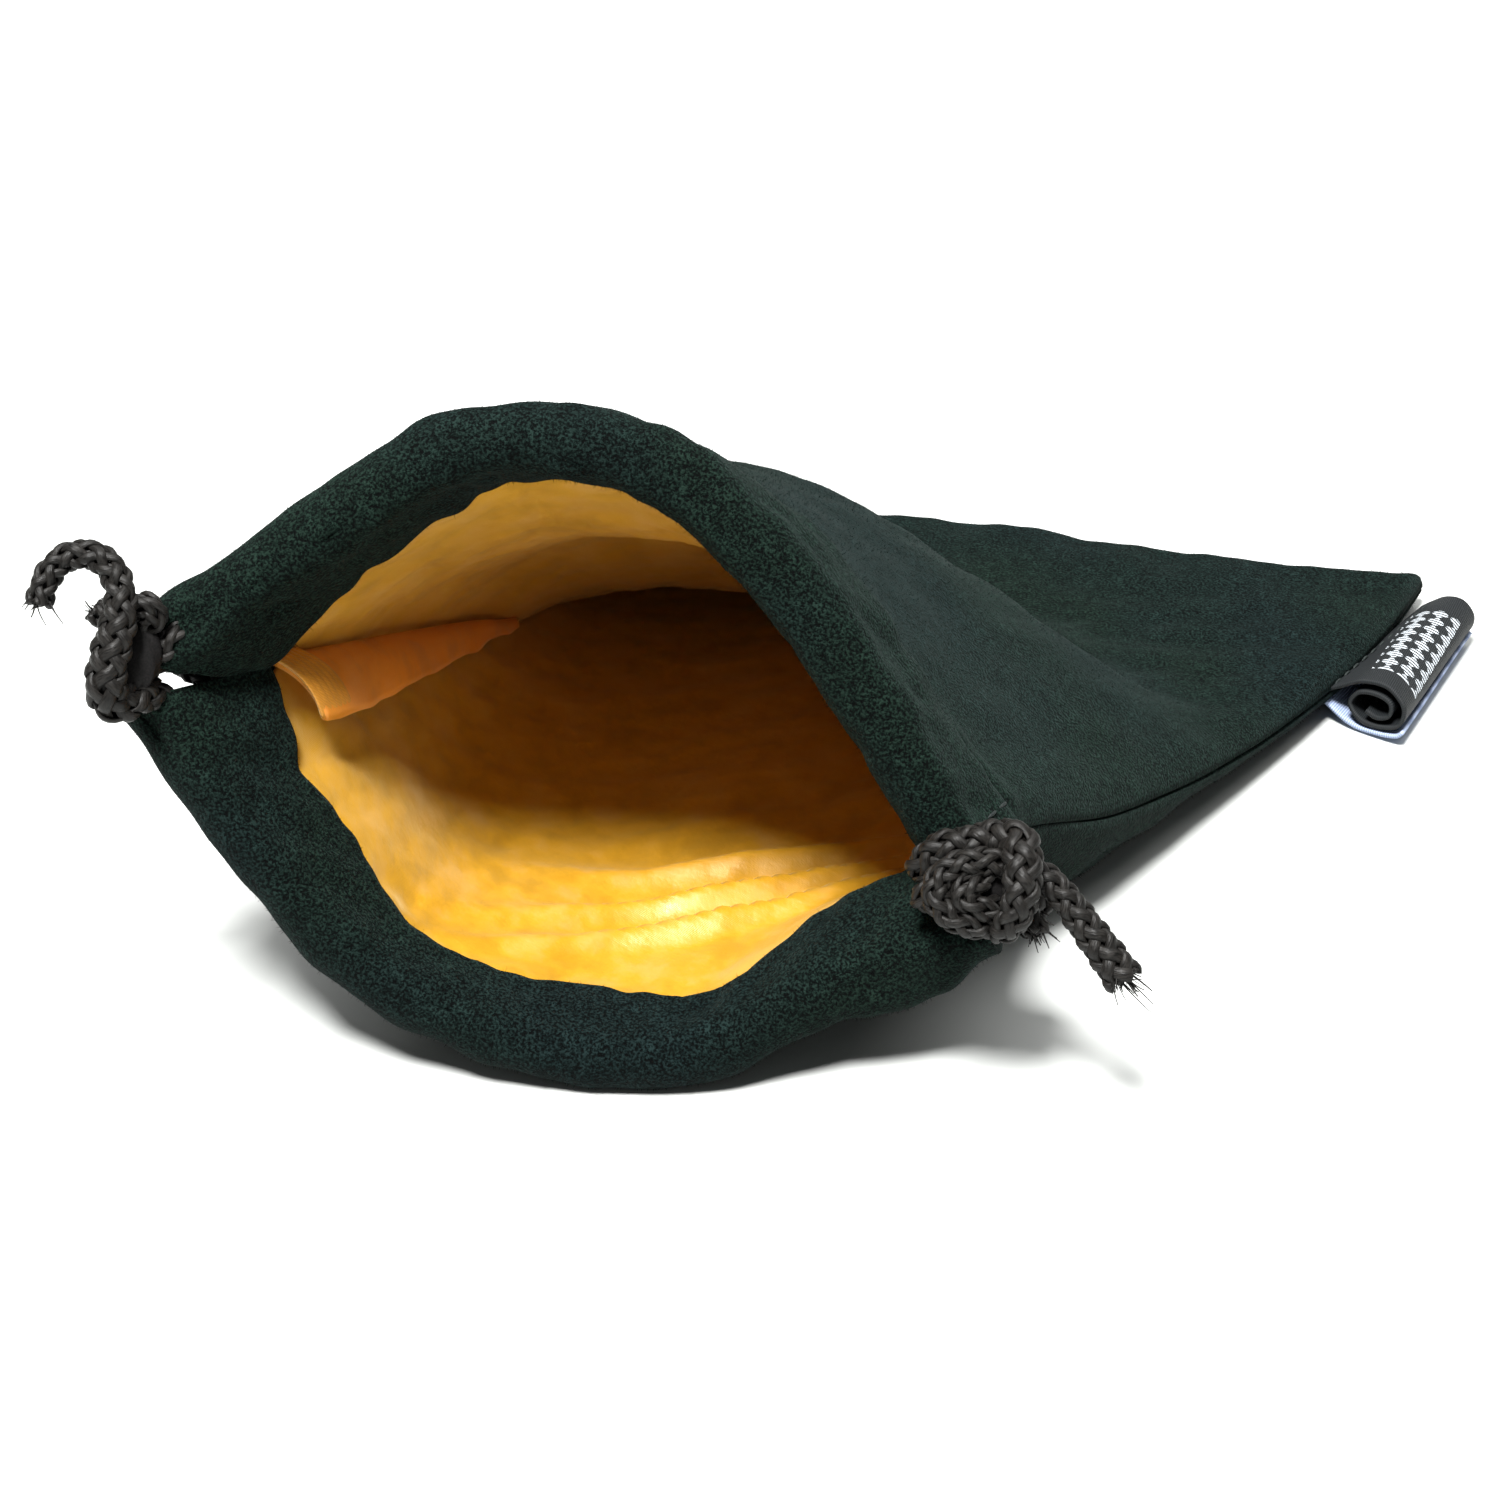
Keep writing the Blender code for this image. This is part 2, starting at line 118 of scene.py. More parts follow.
# ---- drawcords
CORD = 3.1
CORD_STEP = 0.45             # from place to place along a cord
FRONT_CORD = 9.0             # left drawcord, in front of the casing stitching
REAR_CORD = 4.1              # right drawcord, in front of the casing stitching
CORD_SINK = -0.2             # outward from a casing's middle
LOOP_END = 0.93              # share of the half width where a loop comes out of its casing
LOOP_TURN = 0.985            # and where it turns back at the far side
TURN_POINTS = 6
TURN_REACH = 5.5             # how far the turn runs on in line with the casings
TURN_BULGE = 3.8             # and how far it bulges sideways

# ---- the bag's shape
# The CAD panels' sections: seven places across the cloth, at distances along it.
UPPER_SECTIONS = {
    0.0: [(-51, 0, 4.2), (-34, 0, 5.2), (-17, 0, 5.6), (0, 0, 5.6),
          (17, -1, 5.2), (34, -1.5, 4.8), (51, 0, 4.4)],
    18.0: [(-52.5, -18, 6.5), (-35.5, -17.5, 7.6), (-18.5, -17, 7.6), (-1.5, -17, 7.0),
           (15, -17.5, 6.2), (30.5, -17.5, 5.8), (45.5, -17.5, 5.4)],
    36.0: [(-54.5, -35, 10.0), (-39, -32, 11.5), (-24, -30, 11), (-8, -29, 9),
           (8, -30, 7.8), (23, -32, 6.9), (38.5, -33.5, 6.2)],
    50.0: [(-56, -48, 13.5), (-44, -44, 19), (-30, -41, 21), (-14, -39.5, 18.5),
           (2, -41, 14), (17.5, -44, 10), (32, -46.5, 7)],
    62.0: [(-57.5, -59.5, 19.5), (-47.5, -55.5, 29), (-34, -52, 34), (-19, -50, 33),
           (-4, -51, 27), (11, -54, 19), (26.5, -57, 8.8)],
    82.0: [(-60.5, -78, 28), (-51.5, -74, 37.5), (-39.5, -70.5, 44.5), (-25, -68, 45),
           (-10.5, -68, 37.5), (4, -70, 26), (17.5, -74, 13.5)],
    SEAM_LENGTH: [(-65, -99.5, 37.2), (-54, -94.5, 46.5), (-40.5, -90.5, 55.5),
                  (-26, -88.5, 54.5), (-13.5, -88.5, 44.5), (-2.5, -90.3, 32), (8.2, -92.5, 21.5)],
    PANEL_LENGTH: [(-71, -109.3, 43), (-57.5, -104, 52.3), (-43, -99.3, 61),
                   (-27, -97.2, 60), (-14.5, -97.8, 50.5), (-4.5, -100.2, 37.5), (4, -102.8, 23.5)],
}
LOWER_SECTIONS = {
    0.0: [(-51, 0, 0.6), (-34, 0, 0.55), (-17, 0, 0.55), (0, 0, 0.55),
          (17, -1, 0.55), (34, -1.5, 0.55), (51, 0, 0.6)],
    18.0: [(-52.5, -18, 3), (-37, -17.5, 1), (-20, -17.5, 0.55), (-3, -17.5, 0.55),
           (14, -17.5, 0.55), (30, -17.5, 0.6), (45.5, -17.5, 1.3)],
    36.0: [(-54.5, -35, 7), (-43, -35, 2.5), (-28, -34.5, 0.6), (-11, -34, 0.55),
           (6, -34, 0.55), (23, -33.5, 0.8), (38.5, -33.5, 2.3)],
    50.0: [(-56, -48, 10.5), (-46.5, -48.5, 4), (-33, -48, 0.8), (-18, -47.5, 0.55),
           (-1, -47, 0.55), (16, -46.5, 1.0), (32, -46.5, 4)],
    62.0: [(-57.5, -59.5, 16.5), (-50, -60.5, 7), (-38, -60, 1.2), (-23, -59, 0.55),
           (-7, -58, 0.55), (10, -56.5, 1.6), (26.5, -57, 5.8)],
    82.0: [(-60.5, -78, 25), (-55, -80, 13), (-45.5, -80.5, 3.8), (-31, -80, 0.55),
           (-15, -78, 0.55), (1, -75.5, 3), (17.5, -74, 10.5)],
    SEAM_LENGTH: [(-65, -99.5, 34.4), (-57.6, -102.3, 21.4), (-48.3, -104.3, 9.2),
                  (-34, -103.8, 3.9), (-18.5, -102, 3.9), (-6.2, -97.5, 11), (8.2, -92.5, 18.7)],
    PANEL_LENGTH: [(-72.5, -111, 36.3), (-62.4, -113.5, 22.8), (-50.6, -115, 10.6),
                   (-35, -115.2, 3.9), (-19, -112.8, 3.5), (-5, -107.5, 10.5), (8.8, -103.8, 15.4)],
}
UPPER = {"sections": UPPER_SECTIONS, "outward": -1.0, "seed": 3,
         "hem": (0.0, 0.6, 1.2, 0.6, 0.0, 0.0, 0.0, 0.0)}      # shifts at HEM_PLACES
LOWER = {"sections": LOWER_SECTIONS, "outward": 1.0, "seed": 8,
         "hem": (0.0, 1.6, 2.2, 3.4, 2.0, 4.0, -1.0, 0.0)}
PANELS = (("upper", UPPER), ("lower", LOWER))
SIDES = (("left", -1), ("right", 1))

# ---- knots
# Each route is in the knot's own axes: right, up and forwards as seen from the front.
KNOT_CENTRES = {"left": np.array([-71.2, -112.8, 44.6]), "right": np.array([5.8, -106.5, 24.1])}
KNOT_ROUTES = {
    "left_tail": [(0.9, -4.8, -2.6), (-0.6, -5.6, -0.9), (-1.3, -4.5, 0.7), (-1.0, -2.5, 1.2),
                  (-0.5, -0.5, 1.4), (0.0, 1.5, 1.3), (0.2, 3.3, 1.1), (0.0, 4.8, 0.7),
                  (-0.6, 6.2, 0.4), (-1.9, 7.5, 0.2), (-3.6, 7.9, 0.1), (-5.3, 7.4, 0.0),
                  (-6.5, 6.1, 0.1), (-7.1, 4.7, 0.2), (-7.4, 3.3, 0.3)],
    "left_stub": [(4.2, 0.4, -3.0), (2.2, -1.8, -3.4), (-0.2, -3.4, -2.6), (-1.5, -2.0, -1.9),
                  (-0.6, 0.2, -2.3), (1.4, 1.6, -2.4), (2.8, 2.2, -1.2), (2.5, 3.3, -0.3),
                  (1.0, 3.1, -0.7), (-0.7, 2.4, -1.0), (-2.0, 2.4, -0.9), (-2.7, 2.9, -0.7)],
    "right_tail": [(-3.2, -1.0, -2.6), (-0.6, 0.6, -1.8), (2.0, 0.9, -0.8), (1.0, 0.3, 0.9),
                   (-0.3, -0.8, 1.2), (0.7, -1.9, 1.0), (2.4, -2.2, 0.2), (3.4, -3.0, -1.2),
                   (2.2, -3.7, -0.7), (0.2, -3.5, 0.4), (-1.9, -2.3, 0.8), (-2.7, -0.4, 0.8),
                   (-1.5, 1.4, 0.9), (0.6, 2.1, 1.1), (2.6, 2.1, 0.7), (4.8, 1.5, -0.7),
                   (7.2, 0.8, -0.5), (9.2, -1.1, -0.2), (11.2, -3.8, 0.2), (13.1, -6.4, 0.5),
                   (14.7, -8.7, 0.7)],
    "right_stub": [(-3.6, 1.6, -3.0), (-2.2, 3.2, -1.8), (0.6, 3.6, -0.9), (3.4, 4.2, -0.2),
                   (4.9, 4.0, 1.3), (5.2, 2.2, 2.5), (5.1, 0.2, 2.8), (4.8, -1.9, 2.5),
                   (4.0, -3.7, 1.2), (3.3, -4.0, -0.8), (3.9, -2.6, -2.2), (5.6, -2.4, -1.8),
                   (6.6, -3.4, -1.2), (6.9, -4.6, -0.8)],
}
# How broad the cord lies along each route: (share of the route, times its diameter).
KNOT_BREADTHS = {
    "left_tail": [(0.0, 1.0), (0.3, 1.3), (0.42, 1.5), (0.58, 1.42), (0.7, 1.08), (1.0, 0.92)],
    "left_stub": [(0.0, 1.0), (1.0, 0.85)],
    "right_tail": [(0.0, 1.0), (0.7, 1.0), (0.86, 1.1), (1.0, 1.5)],
    "right_stub": [(0.0, 1.0), (0.40, 1.2), (0.52, 1.5), (0.70, 1.4), (0.8, 1.1), (1.0, 0.8)],
}
KNOT_HEARTS = {"left": (np.array([0.5, -1.0, -1.9]), np.array([2.7, 3.5, 1.2])),
               "right": (np.array([1.4, -0.4, -0.9]), np.array([3.0, 2.8, 1.4]))}
KNOT_LEAD = 5.5              # a knot's cords reach this far back into the casings
LEAD_SHARES = (1.0, 0.66, 0.33, 0.0)
LEAD_AIM = 20                # the leads point at this place of their loop, counted from the mouth
KNOT_CORD = 2.9              # the cord is drawn tighter in its knot
KNOT_STEP = 0.22
YARN_ENDS = {                # the loose yarns at each cut end
    "left_tail": {"count": 14, "length": 1.6, "spread": 0.9, "seed": 5},
    "left_stub": {"count": 8, "length": 1.0, "spread": 0.9, "seed": 9},
    "right_tail": {"count": 26, "length": 2.6, "spread": 0.9, "seed": 5},
    "right_stub": {"count": 34, "length": 1.7, "spread": 0.9, "seed": 9},
}

# ---- braid
STRANDS_EACH_WAY = 4
BRAID_PITCH = 3.1            # one turn of a strand, in cord diameters
STRAND_WIDTH = 0.31          # in cord diameters
STRAND_THICKNESS = 0.20
STRAND_ORBIT = 0.345
STRAND_WEAVE = 0.060
CORE_RADIUS = 0.235
STRAND_SIDES = 7
HIDDEN_STRAND_SIDES = 5      # on the cords inside the casings
CORE_SIDES = 8
YARN_SIDES = 5
STITCH_SIDES = 6

# ---- label
LABEL_START = Vector((39.6, -29.8, 3.0))
LABEL_END = Vector((51.6, -5.6, 2.6))
LABEL_TAPE = 0.45            # thickness
MOTIF_ACROSS = (-7.5, 3.3)    # the woven motif: middle and half width on the flat tape
MOTIF_ALONG = (13.0, 9.5)
LABEL_SHIFT = np.array([-1.0, -0.3, 0.0])
LABEL_SIZE = 0.92            # the sections below are drawn a little large
# Sections at the tape's near and far ends: the black roll and the pale layer under it.
ROLL_NEAR = [(1.0, 0.65), (3.0, 2.1), (6.2, 4.2), (9.8, 4.1), (12.0, 2.1),
             (11.6, -0.5), (9.2, -1.7), (6.2, -1.3), (4.7, 0.5), (5.6, 2.3),
             (8.1, 2.8), (10.2, 1.9), (10.2, 0.3), (8.6, -0.5), (7.0, 0.1)]
ROLL_FAR = [(1.0, 0.65), (2.1, 1.7), (4.0, 3.0), (6.2, 3.1), (8.0, 1.4),
            (7.7, -0.5), (6.0, -1.2), (4.2, -0.9), (3.4, 0.4), (4.0, 1.6),
            (5.4, 2.0), (6.7, 1.2), (6.6, 0.2), (5.6, -0.3), (4.7, 0.1)]
UNDER_NEAR = [(1.0, -0.5), (2.6, -1.5), (5.0, -2.4), (8.0, -2.7),
              (10.4, -2.5), (11.8, -1.9), (12.3, -1.2)]
UNDER_FAR = [(1.0, -0.5), (2.0, -1.0), (3.6, -1.6), (5.4, -1.9),
             (6.8, -1.8), (7.8, -1.4), (8.1, -0.9)]
LABEL_STITCHES_OUT = 1.9     # from the label's line at its seam
LABEL_STITCHES_UP = 1.65

# ---- stitches: length, gap and radius
CASING_STITCH = (2.3, 0.5, 0.17)
CASING_STITCH_HEIGHT = 1.32  # over the panel's middle
CASING_STITCH_REACH = 0.97   # share of the half width
END_STITCH = (1.8, 0.6, 0.16)
END_STITCH_HEIGHT = 0.5      # over the casing's outer layer
END_STITCH_PLACE = 0.955     # share of the half width
END_STITCH_ALONG = (107.5, 116)
SEAM_STITCH = (2.2, 0.4, 0.15)
SEAM_STITCH_INSET = 0.5
SEAM_STITCH_START = {"left": 4.0, "right": 36.0}   # the label covers the right seam's start
BOTTOM_STITCH_REACH = 0.95   # share of the half width
LABEL_STITCH = (1.6, 0.7, 0.16)

# ---- colours
SATIN_WEAVE = 0.32           # pitch of the twill, in millimetres
EDGE_WEAVE = 0.7
LINING_GOLD = (0.52, 0.262, 0.010)
# The seam flaps are the lining's satin, coloured brighter and deeper orange as painted light: the warm
# light bounced onto them inside the bag.
SEAM_GOLD_PAINTED_LIGHT = (0.80, 0.26, 0.012)
EDGE_GOLD = (0.66, 0.27, 0.025)
TABLE_WHITE = (0.56, 0.575, 0.565, 1)


# ---- curves and surfaces
def smooth(knots, values, at):
    """Reads a smooth curve through values, whose first axis stands at knots."""
    knots = np.asarray(knots, float)
    values = np.asarray(values, float)
    at = np.atleast_1d(np.asarray(at, float))
    slopes = np.gradient(values, knots, axis=0)
    index = np.clip(np.searchsorted(knots, at) - 1, 0, len(knots) - 2)
    tail = (1,) * (values.ndim - 1)
    span = (knots[index + 1] - knots[index]).reshape(-1, *tail)
    u = (at - knots[index]).reshape(-1, *tail) / span
    return (values[index] * (2 * u**3 - 3 * u**2 + 1)
            + values[index + 1] * (3 * u**2 - 2 * u**3)
            + slopes[index] * span * (u**3 - 2 * u**2 + u)
            + slopes[index + 1] * span * (u**3 - u**2))


def ease(share):
    share = np.clip(share, 0.0, 1.0)
    return share * share * (3 - 2 * share)


def bell(distance, width):
    return np.exp(-(distance / width) ** 2)


def unit(vectors):
    length = np.linalg.norm(vectors, axis=-1, keepdims=True)
    return vectors / np.maximum(length, 1e-9)


def distances(line):
    """How far along a line each of its places stands."""
    return np.concatenate([[0.0], np.cumsum(np.linalg.norm(np.diff(line, axis=0), axis=1))])


def read_line(line, travelled, at):
    """Places at given distances along a line."""
    return np.stack([np.interp(at, travelled, line[:, k]) for k in range(3)], axis=1)


def panel_middle(panel, across, along):
    """The panel's middle surface: places[along, across], in sewing places."""
    places = np.linspace(-1.0, 1.0, 7)
    rows = np.array([smooth(places, row, across) for row in panel["sections"].values()])
    return smooth(list(panel["sections"]), rows, along)


def panel_outward(panel, across, along):
    """The panel's outward directions, over the same places as panel_middle."""
    step = 1e-3
    across = np.clip(across, step - 1, 1 - step)
    along = np.clip(along, step, PANEL_LENGTH - step)
    side = panel_middle(panel, across + step, along) - panel_middle(panel, across - step, along)
    ahead = panel_middle(panel, across, along + step) - panel_middle(panel, across, along - step)
    return unit(np.cross(side, ahead) * panel["outward"])


def seam_middle(across, along):
    """Halfway between the two panels."""
    return (panel_middle(UPPER, across, along) + panel_middle(LOWER, across, along)) / 2


def ripples(seed, first, second, size, octaves=3):
    """Smooth pseudo-random waves over two coordinates in millimetres, about -1 to 1."""
    source = np.random.default_rng(seed)
    total = np.zeros(np.broadcast(first, second).shape)
    for octave in range(octaves):
        for _ in range(4):
            angle = source.uniform(0, math.pi)
            phase = source.uniform(0, 2 * math.pi)
            length = size / 1.8**octave * source.uniform(0.8, 1.3)
            travel = first * math.cos(angle) + second * math.sin(angle)
            total = total + np.sin(2 * math.pi * travel / length + phase) / 1.7**octave
    return total / 4.0


# ---- meshes
def to_row(places):
    return (np.asarray(places, float) - ORIGIN) * MM


def new_object(name, verts, faces, finish):
    """A mesh object from places in sewing millimetres."""
    mesh = bpy.data.meshes.new(name)
    mesh.from_pydata(to_row(verts).tolist(), [], faces)
    mesh.shade_smooth()
    made = bpy.data.objects.new(name, mesh)
    bpy.context.scene.collection.objects.link(made)
    mesh.materials.append(finish)
    return made


def grid_faces(rows, columns, flip):
    index = np.arange(rows * columns).reshape(rows, columns)
    corners = [index[:-1, :-1], index[:-1, 1:], index[1:, 1:], index[1:, :-1]]
    faces = np.stack([c.ravel() for c in corners], axis=1)
    return (faces[:, ::-1] if flip else faces).tolist()


def grid_object(name, places, flip, thickness, finish):
    """A sheet from a grid of places, with a thickness. It carries millimetre UVs."""
    rows, columns = places.shape[:2]
    made = new_object(name, places.reshape(-1, 3), grid_faces(rows, columns, flip), finish)
    add_uv(made, "cloth_mm", cloth_uv(places))
    shell = made.modifiers.new("thickness", "SOLIDIFY")
    shell.thickness = thickness * MM
    shell.offset = 0.0
    shell.use_even_offset = False
    apply_modifiers(made)
    return made


def cloth_uv(places):
    """Millimetres across and along a cloth, for each of its places."""
    across = np.linalg.norm(np.diff(places, axis=1), axis=2)
    along = np.linalg.norm(np.diff(places, axis=0), axis=2)
    u = np.concatenate([np.zeros((len(places), 1)), np.cumsum(across, axis=1)], axis=1)
    u -= u[:, -1:] / 2
    v = np.concatenate([[0.0], np.cumsum(along.mean(axis=1))])
    return np.stack([u, np.broadcast_to(v[:, None], u.shape)], axis=2).reshape(-1, 2)


def add_uv(made, name, uv):
    """A UV layer from one pair for each vertex."""
    layer = made.data.uv_layers.new(name=name)
    loops = np.zeros(len(made.data.loops), int)
    made.data.loops.foreach_get("vertex_index", loops)
    layer.data.foreach_set("uv", uv[loops].ravel())


def apply_modifiers(made):
    seen = made.evaluated_get(bpy.context.evaluated_depsgraph_get())
    mesh = bpy.data.meshes.new_from_object(seen)
    made.modifiers.clear()
    made.data = mesh


# ---- outer cloth
def casing_profile():
    """Along and height of the outer cloth, from the bottom seam round the rim's fold."""
    body = np.concatenate([np.linspace(0, 2.4, 9)[:-1], np.linspace(2.4, SEAM_LENGTH - 3, 190)])
    rise = np.linspace(SEAM_LENGTH - 2.5, SEAM_LENGTH + 4, 18)
    leaf = np.linspace(SEAM_LENGTH + 4.5, PANEL_LENGTH - ROLL, 14)
    turn = np.linspace(math.pi / 2, -math.pi / 2, 19)[1:-1]
    back = np.linspace(PANEL_LENGTH - ROLL, SEAM_LENGTH + 1.5, 22)
    along = [body, rise, leaf, PANEL_LENGTH - ROLL + ROLL * np.cos(turn), back]
    tuck = ease((SEAM_LENGTH + 6 - back) / 5)
    height = [body * 0, ROLL * ease((rise - SEAM_LENGTH + 2.2) / 6.0), leaf * 0 + ROLL,
              ROLL * np.sin(turn), -ROLL + 0.15 * tuck]
    hem = np.radians([15, 45, 80, 110, 140])
    along.append(SEAM_LENGTH + 1.3 - 0.55 * np.sin(hem))
    height.append(-ROLL + 0.15 + 0.5 - 0.5 * np.cos(hem))
    return np.concatenate(along), np.concatenate(height)


def leaf_share(height):
    """0 on the bag's body and outside of the casing, 1 on the casing's inner leaf."""
    return ease((-height - 0.5) / 1.5)


def cloth_relief(panel, across, along, height):
    """Extra height of the outer cloth: creases, stitching and puckers."""
    wide = across[None, :] * HALF_WIDTH
    far = along[:, None]
    seed = panel["seed"]
    inner = leaf_share(height[:, None])
    relief = 0.35 * ripples(seed, wide, far, 26.0) * (1 - inner)
    relief += 0.28 * ripples(seed + 1, wide, far * 0.6, 9.0, octaves=2) * (1 - inner)
    pucker = ripples(seed + 2, wide, far * 0.15, 6.5, octaves=2)
    near_stitching = bell(far - SEAM_LENGTH, 3.6) * (1 - inner)
    relief += 0.42 * pucker * near_stitching
    relief -= 0.95 * bell(far - SEAM_LENGTH + 0.2, 1.0) * (1 - inner)
    relief += 0.45 * bell(far - SEAM_LENGTH + 2.6, 1.5) * (1 - inner)
    relief += 0.30 * ripples(seed + 4, wide, far, 8.0, octaves=2) * ease((far - 108) / 4)
    relief -= 0.35 * pucker * inner * bell(far - SEAM_LENGTH - 1.5, 3.0)
    relief += CORNER_FULL * inner * ease((-across[None, :] - 0.78) / 0.17)
    if panel is LOWER:
        side = bell(across[None, :] - 0.80, 0.17) * ease((far - 38) / 45)
        relief += SIDE_FULL * side * (1 - 0.45 * ease((far - 100) / 8)) * (1 - inner)
        end = ease((across[None, :] - 0.86) / 0.1) * ease((far - 104) / 5)
        relief -= RIGHT_END_FLAT * end * (1 - inner)
    else:
        swell = bell(across[None, :] - 0.42, 0.33) * bell(far - 104, 10.0)
        relief += UPPER_FULL * swell * (1 - inner)
    return relief


def hem_wander(panel, across):
    """How far the hem stands in front of a straight one, in millimetres."""
    wide = across * HALF_WIDTH
    shape = smooth(HEM_PLACES, panel["hem"], across)
    return shape + HEM_WAVE * ripples(panel["seed"] + 5, wide, wide * 0, 11.0, octaves=2)


def seam_pull(across, along):
    """How far the outer cloth is drawn in to the seams: 0 on the panel, 1 at its edge."""
    side = (np.abs(across[None, :]) - 1) * HALF_WIDTH / SEAM_ROUNDING + 1
    side = 1 - np.sqrt(1 - np.clip(side, 0, 1) ** 2)
    side = side * (1 - ease((along[:, None] - OPEN_FROM) / (OPEN_TO - OPEN_FROM)))
    bottom = np.clip(1 - along[:, None] / SEAM_ROUNDING, 0, 1)
    bottom = 1 - np.sqrt(1 - bottom**2)
    return np.maximum(side, bottom)[..., None]


def outer_places(panel):
    """The outer cloth's middle surface, round the rim's fold to the hem."""
    across = np.linspace(-1.0, 1.0, OUTER_COLUMNS)
    across = np.sign(across) * (1 - (1 - np.abs(across)) ** 1.12)
    along, height = casing_profile()
    relief = cloth_relief(panel, across, along, height)
    inner = leaf_share(height)[:, None]
    shift = hem_wander(panel, across)[None, :] * inner * ease((110 - along[:, None]) / 5)
    middle = panel_middle(panel, across, along)
    outward = panel_outward(panel, across, along)
    coarse = np.linspace(0, PANEL_LENGTH, 60)
    ahead = unit(np.gradient(panel_middle(panel, across, coarse), axis=0))
    ahead = smooth(coarse, ahead, along)
    places = middle + outward * (height[:, None] + relief * np.sign(height[:, None] + 1.6))[..., None]
    places = places + ahead * shift[..., None]
    seam = seam_middle(across, along)
    side = unit(middle - seam)
    pull = seam_pull(across, along)
    places = places + (seam + side * SEAM_HALF_GAP - places) * pull
    places[..., 2] = np.maximum(places[..., 2], CLOTH / 2)
    return places


def grid_normals(places, sign):
    """Directions out of a grid of places."""
    side = np.gradient(places, axis=1)
    ahead = np.gradient(places, axis=0)
    return unit(np.cross(side, ahead) * sign)


def nap(name, places, normals, seed, finish):
    """Short fibres that stand out of the cloth, each a closed three-sided spike."""
    source = np.random.default_rng(seed)
    count = FIBRE_COUNT
    columns = places.shape[1]
    edge_a = places[1:, :-1] - places[:-1, :-1]
    edge_b = places[:-1, 1:] - places[:-1, :-1]
    area = np.linalg.norm(np.cross(edge_a, edge_b), axis=2).ravel()
    chosen = source.choice(len(area), count, p=area / area.sum())
    row, column = np.divmod(chosen, columns - 1)
    s, t = source.random((2, count, 1))

    def blend(grid):
        low = grid[row, column] * (1 - t) + grid[row, column + 1] * t
        high = grid[row + 1, column] * (1 - t) + grid[row + 1, column + 1] * t
        return low * (1 - s) + high * s

    normal = unit(blend(normals))
    root = blend(places) + normal * (CLOTH / 2 - 0.08)
    lean = source.normal(0, 0.75, (count, 3))
    length = source.uniform(0.22, 0.48, (count, 1)) + source.exponential(0.07, (count, 1))
    tip = root + unit(normal + lean) * length
    side = unit(np.cross(normal, source.normal(0, 1, (count, 3))))
    other = np.cross(normal, side)
    radius = source.uniform(0.022, 0.045, (count, 1))
    corners = [root + (side * math.cos(a) + other * math.sin(a)) * radius
               for a in (0, 2 * math.pi / 3, 4 * math.pi / 3)]
    verts = np.stack([*corners, tip], axis=1).reshape(-1, 3)
    verts[:, 2] = np.maximum(verts[:, 2], 0.02)
    base = np.arange(count)[:, None] * 4
    faces = np.concatenate([base + f for f in ([0, 1, 3], [1, 2, 3], [2, 0, 3], [2, 1, 0])])
    return new_object(name, verts, faces.tolist(), finish)


# ---- lining
def lining_relief(panel, across, along):
    """Folds of the satin, as heights into the bag."""
    wide = across[None, :] * HALF_WIDTH
    far = along[:, None]
    relief = 0.30 * ripples(panel["seed"] + 20, wide, far, 18.0)
    relief = relief + 0.12 * ripples(panel["seed"] + 21, wide, far, 6.0)
    near_hem = bell(far - SEAM_LENGTH, 7.0)
    relief += 0.35 * ripples(panel["seed"] + 22, wide, far * 0.2, 7.0, octaves=2) * near_hem
    if panel is LOWER:
        relief += lower_folds(wide, far)
        return relief + 0.27 * (1 - across[None, :] ** 2) * bell(far - 90, 9.0)
    sag = np.sin(math.pi * np.clip((SEAM_LENGTH - far) / 55, 0, 1))
    return relief + 7.0 * sag * (1 - across[None, :] ** 2) ** 2


def lower_folds(wide, far):
    """Three soft diagonal folds across the lower lining."""
    total = 0.0
    for place, slant, width, height in LOWER_FOLDS:
        line = far - place + slant * (wide - 8)
        fade = bell(wide - 14, 20.0)
        total = total + height * bell(line, width) * fade
    return total


def lining_places(panel):
    """The lining's middle surface, from near the bottom seam to its hem."""
    across = np.linspace(-LINING_REACH, LINING_REACH, LINING_COLUMNS)
    along = np.linspace(3.0, SEAM_LENGTH + 2.5, LINING_ROWS)
    relief = lining_relief(panel, across, along)
    depth = LINING_INSET + np.maximum(relief, -0.3) * ease((1 - np.abs(across)) / 0.08)[None, :]
    depth = depth + 0.65 * ease((along - 102) / 4)[:, None]
    middle = panel_middle(panel, across, along)
    places = middle - panel_outward(panel, across, along) * depth[..., None]
    ahead = unit(np.gradient(middle, axis=0))
    shift = hem_wander(panel, across)[None, :] * ease((along[:, None] - 92) / 12)
    places = places + ahead * shift[..., None]
    seam = seam_middle(across, along)
    closed = seam + unit(middle - seam) * SEAM_HALF_GAP
    near_side = ease((np.abs(across[None, :]) - 0.92) / 0.04)
    near_side = near_side * (1 - ease((along[:, None] - OPEN_FROM) / 5))
    return places + (closed - places) * near_side[..., None]


def flap_reach(flap, along, share):
    """How far a seam flap stands inward and upward, along the seam and by share across it."""
    grown = flap["width"] * np.clip((along - 50) / 54, 0, 1) ** 0.8
    grown = grown + 0.25 * ripples(31, along, along * 0, 15.0) * ease((104 - along) / 8)
    curl = flap["lean"] + 0.30 * share[None, :] ** 2
    curl = curl + 0.08 * ripples(35, along, along * 0, 30.0)[:, None]
    reach = share[None, :] * grown[:, None]
    sag = 0.5 * np.sin(share[None, :] * math.pi)
    sag = sag + 0.35 * ripples(33, along, along * 0, 22.0)[:, None] * share
    return np.cos(curl) * reach, sag - np.sin(curl) * reach


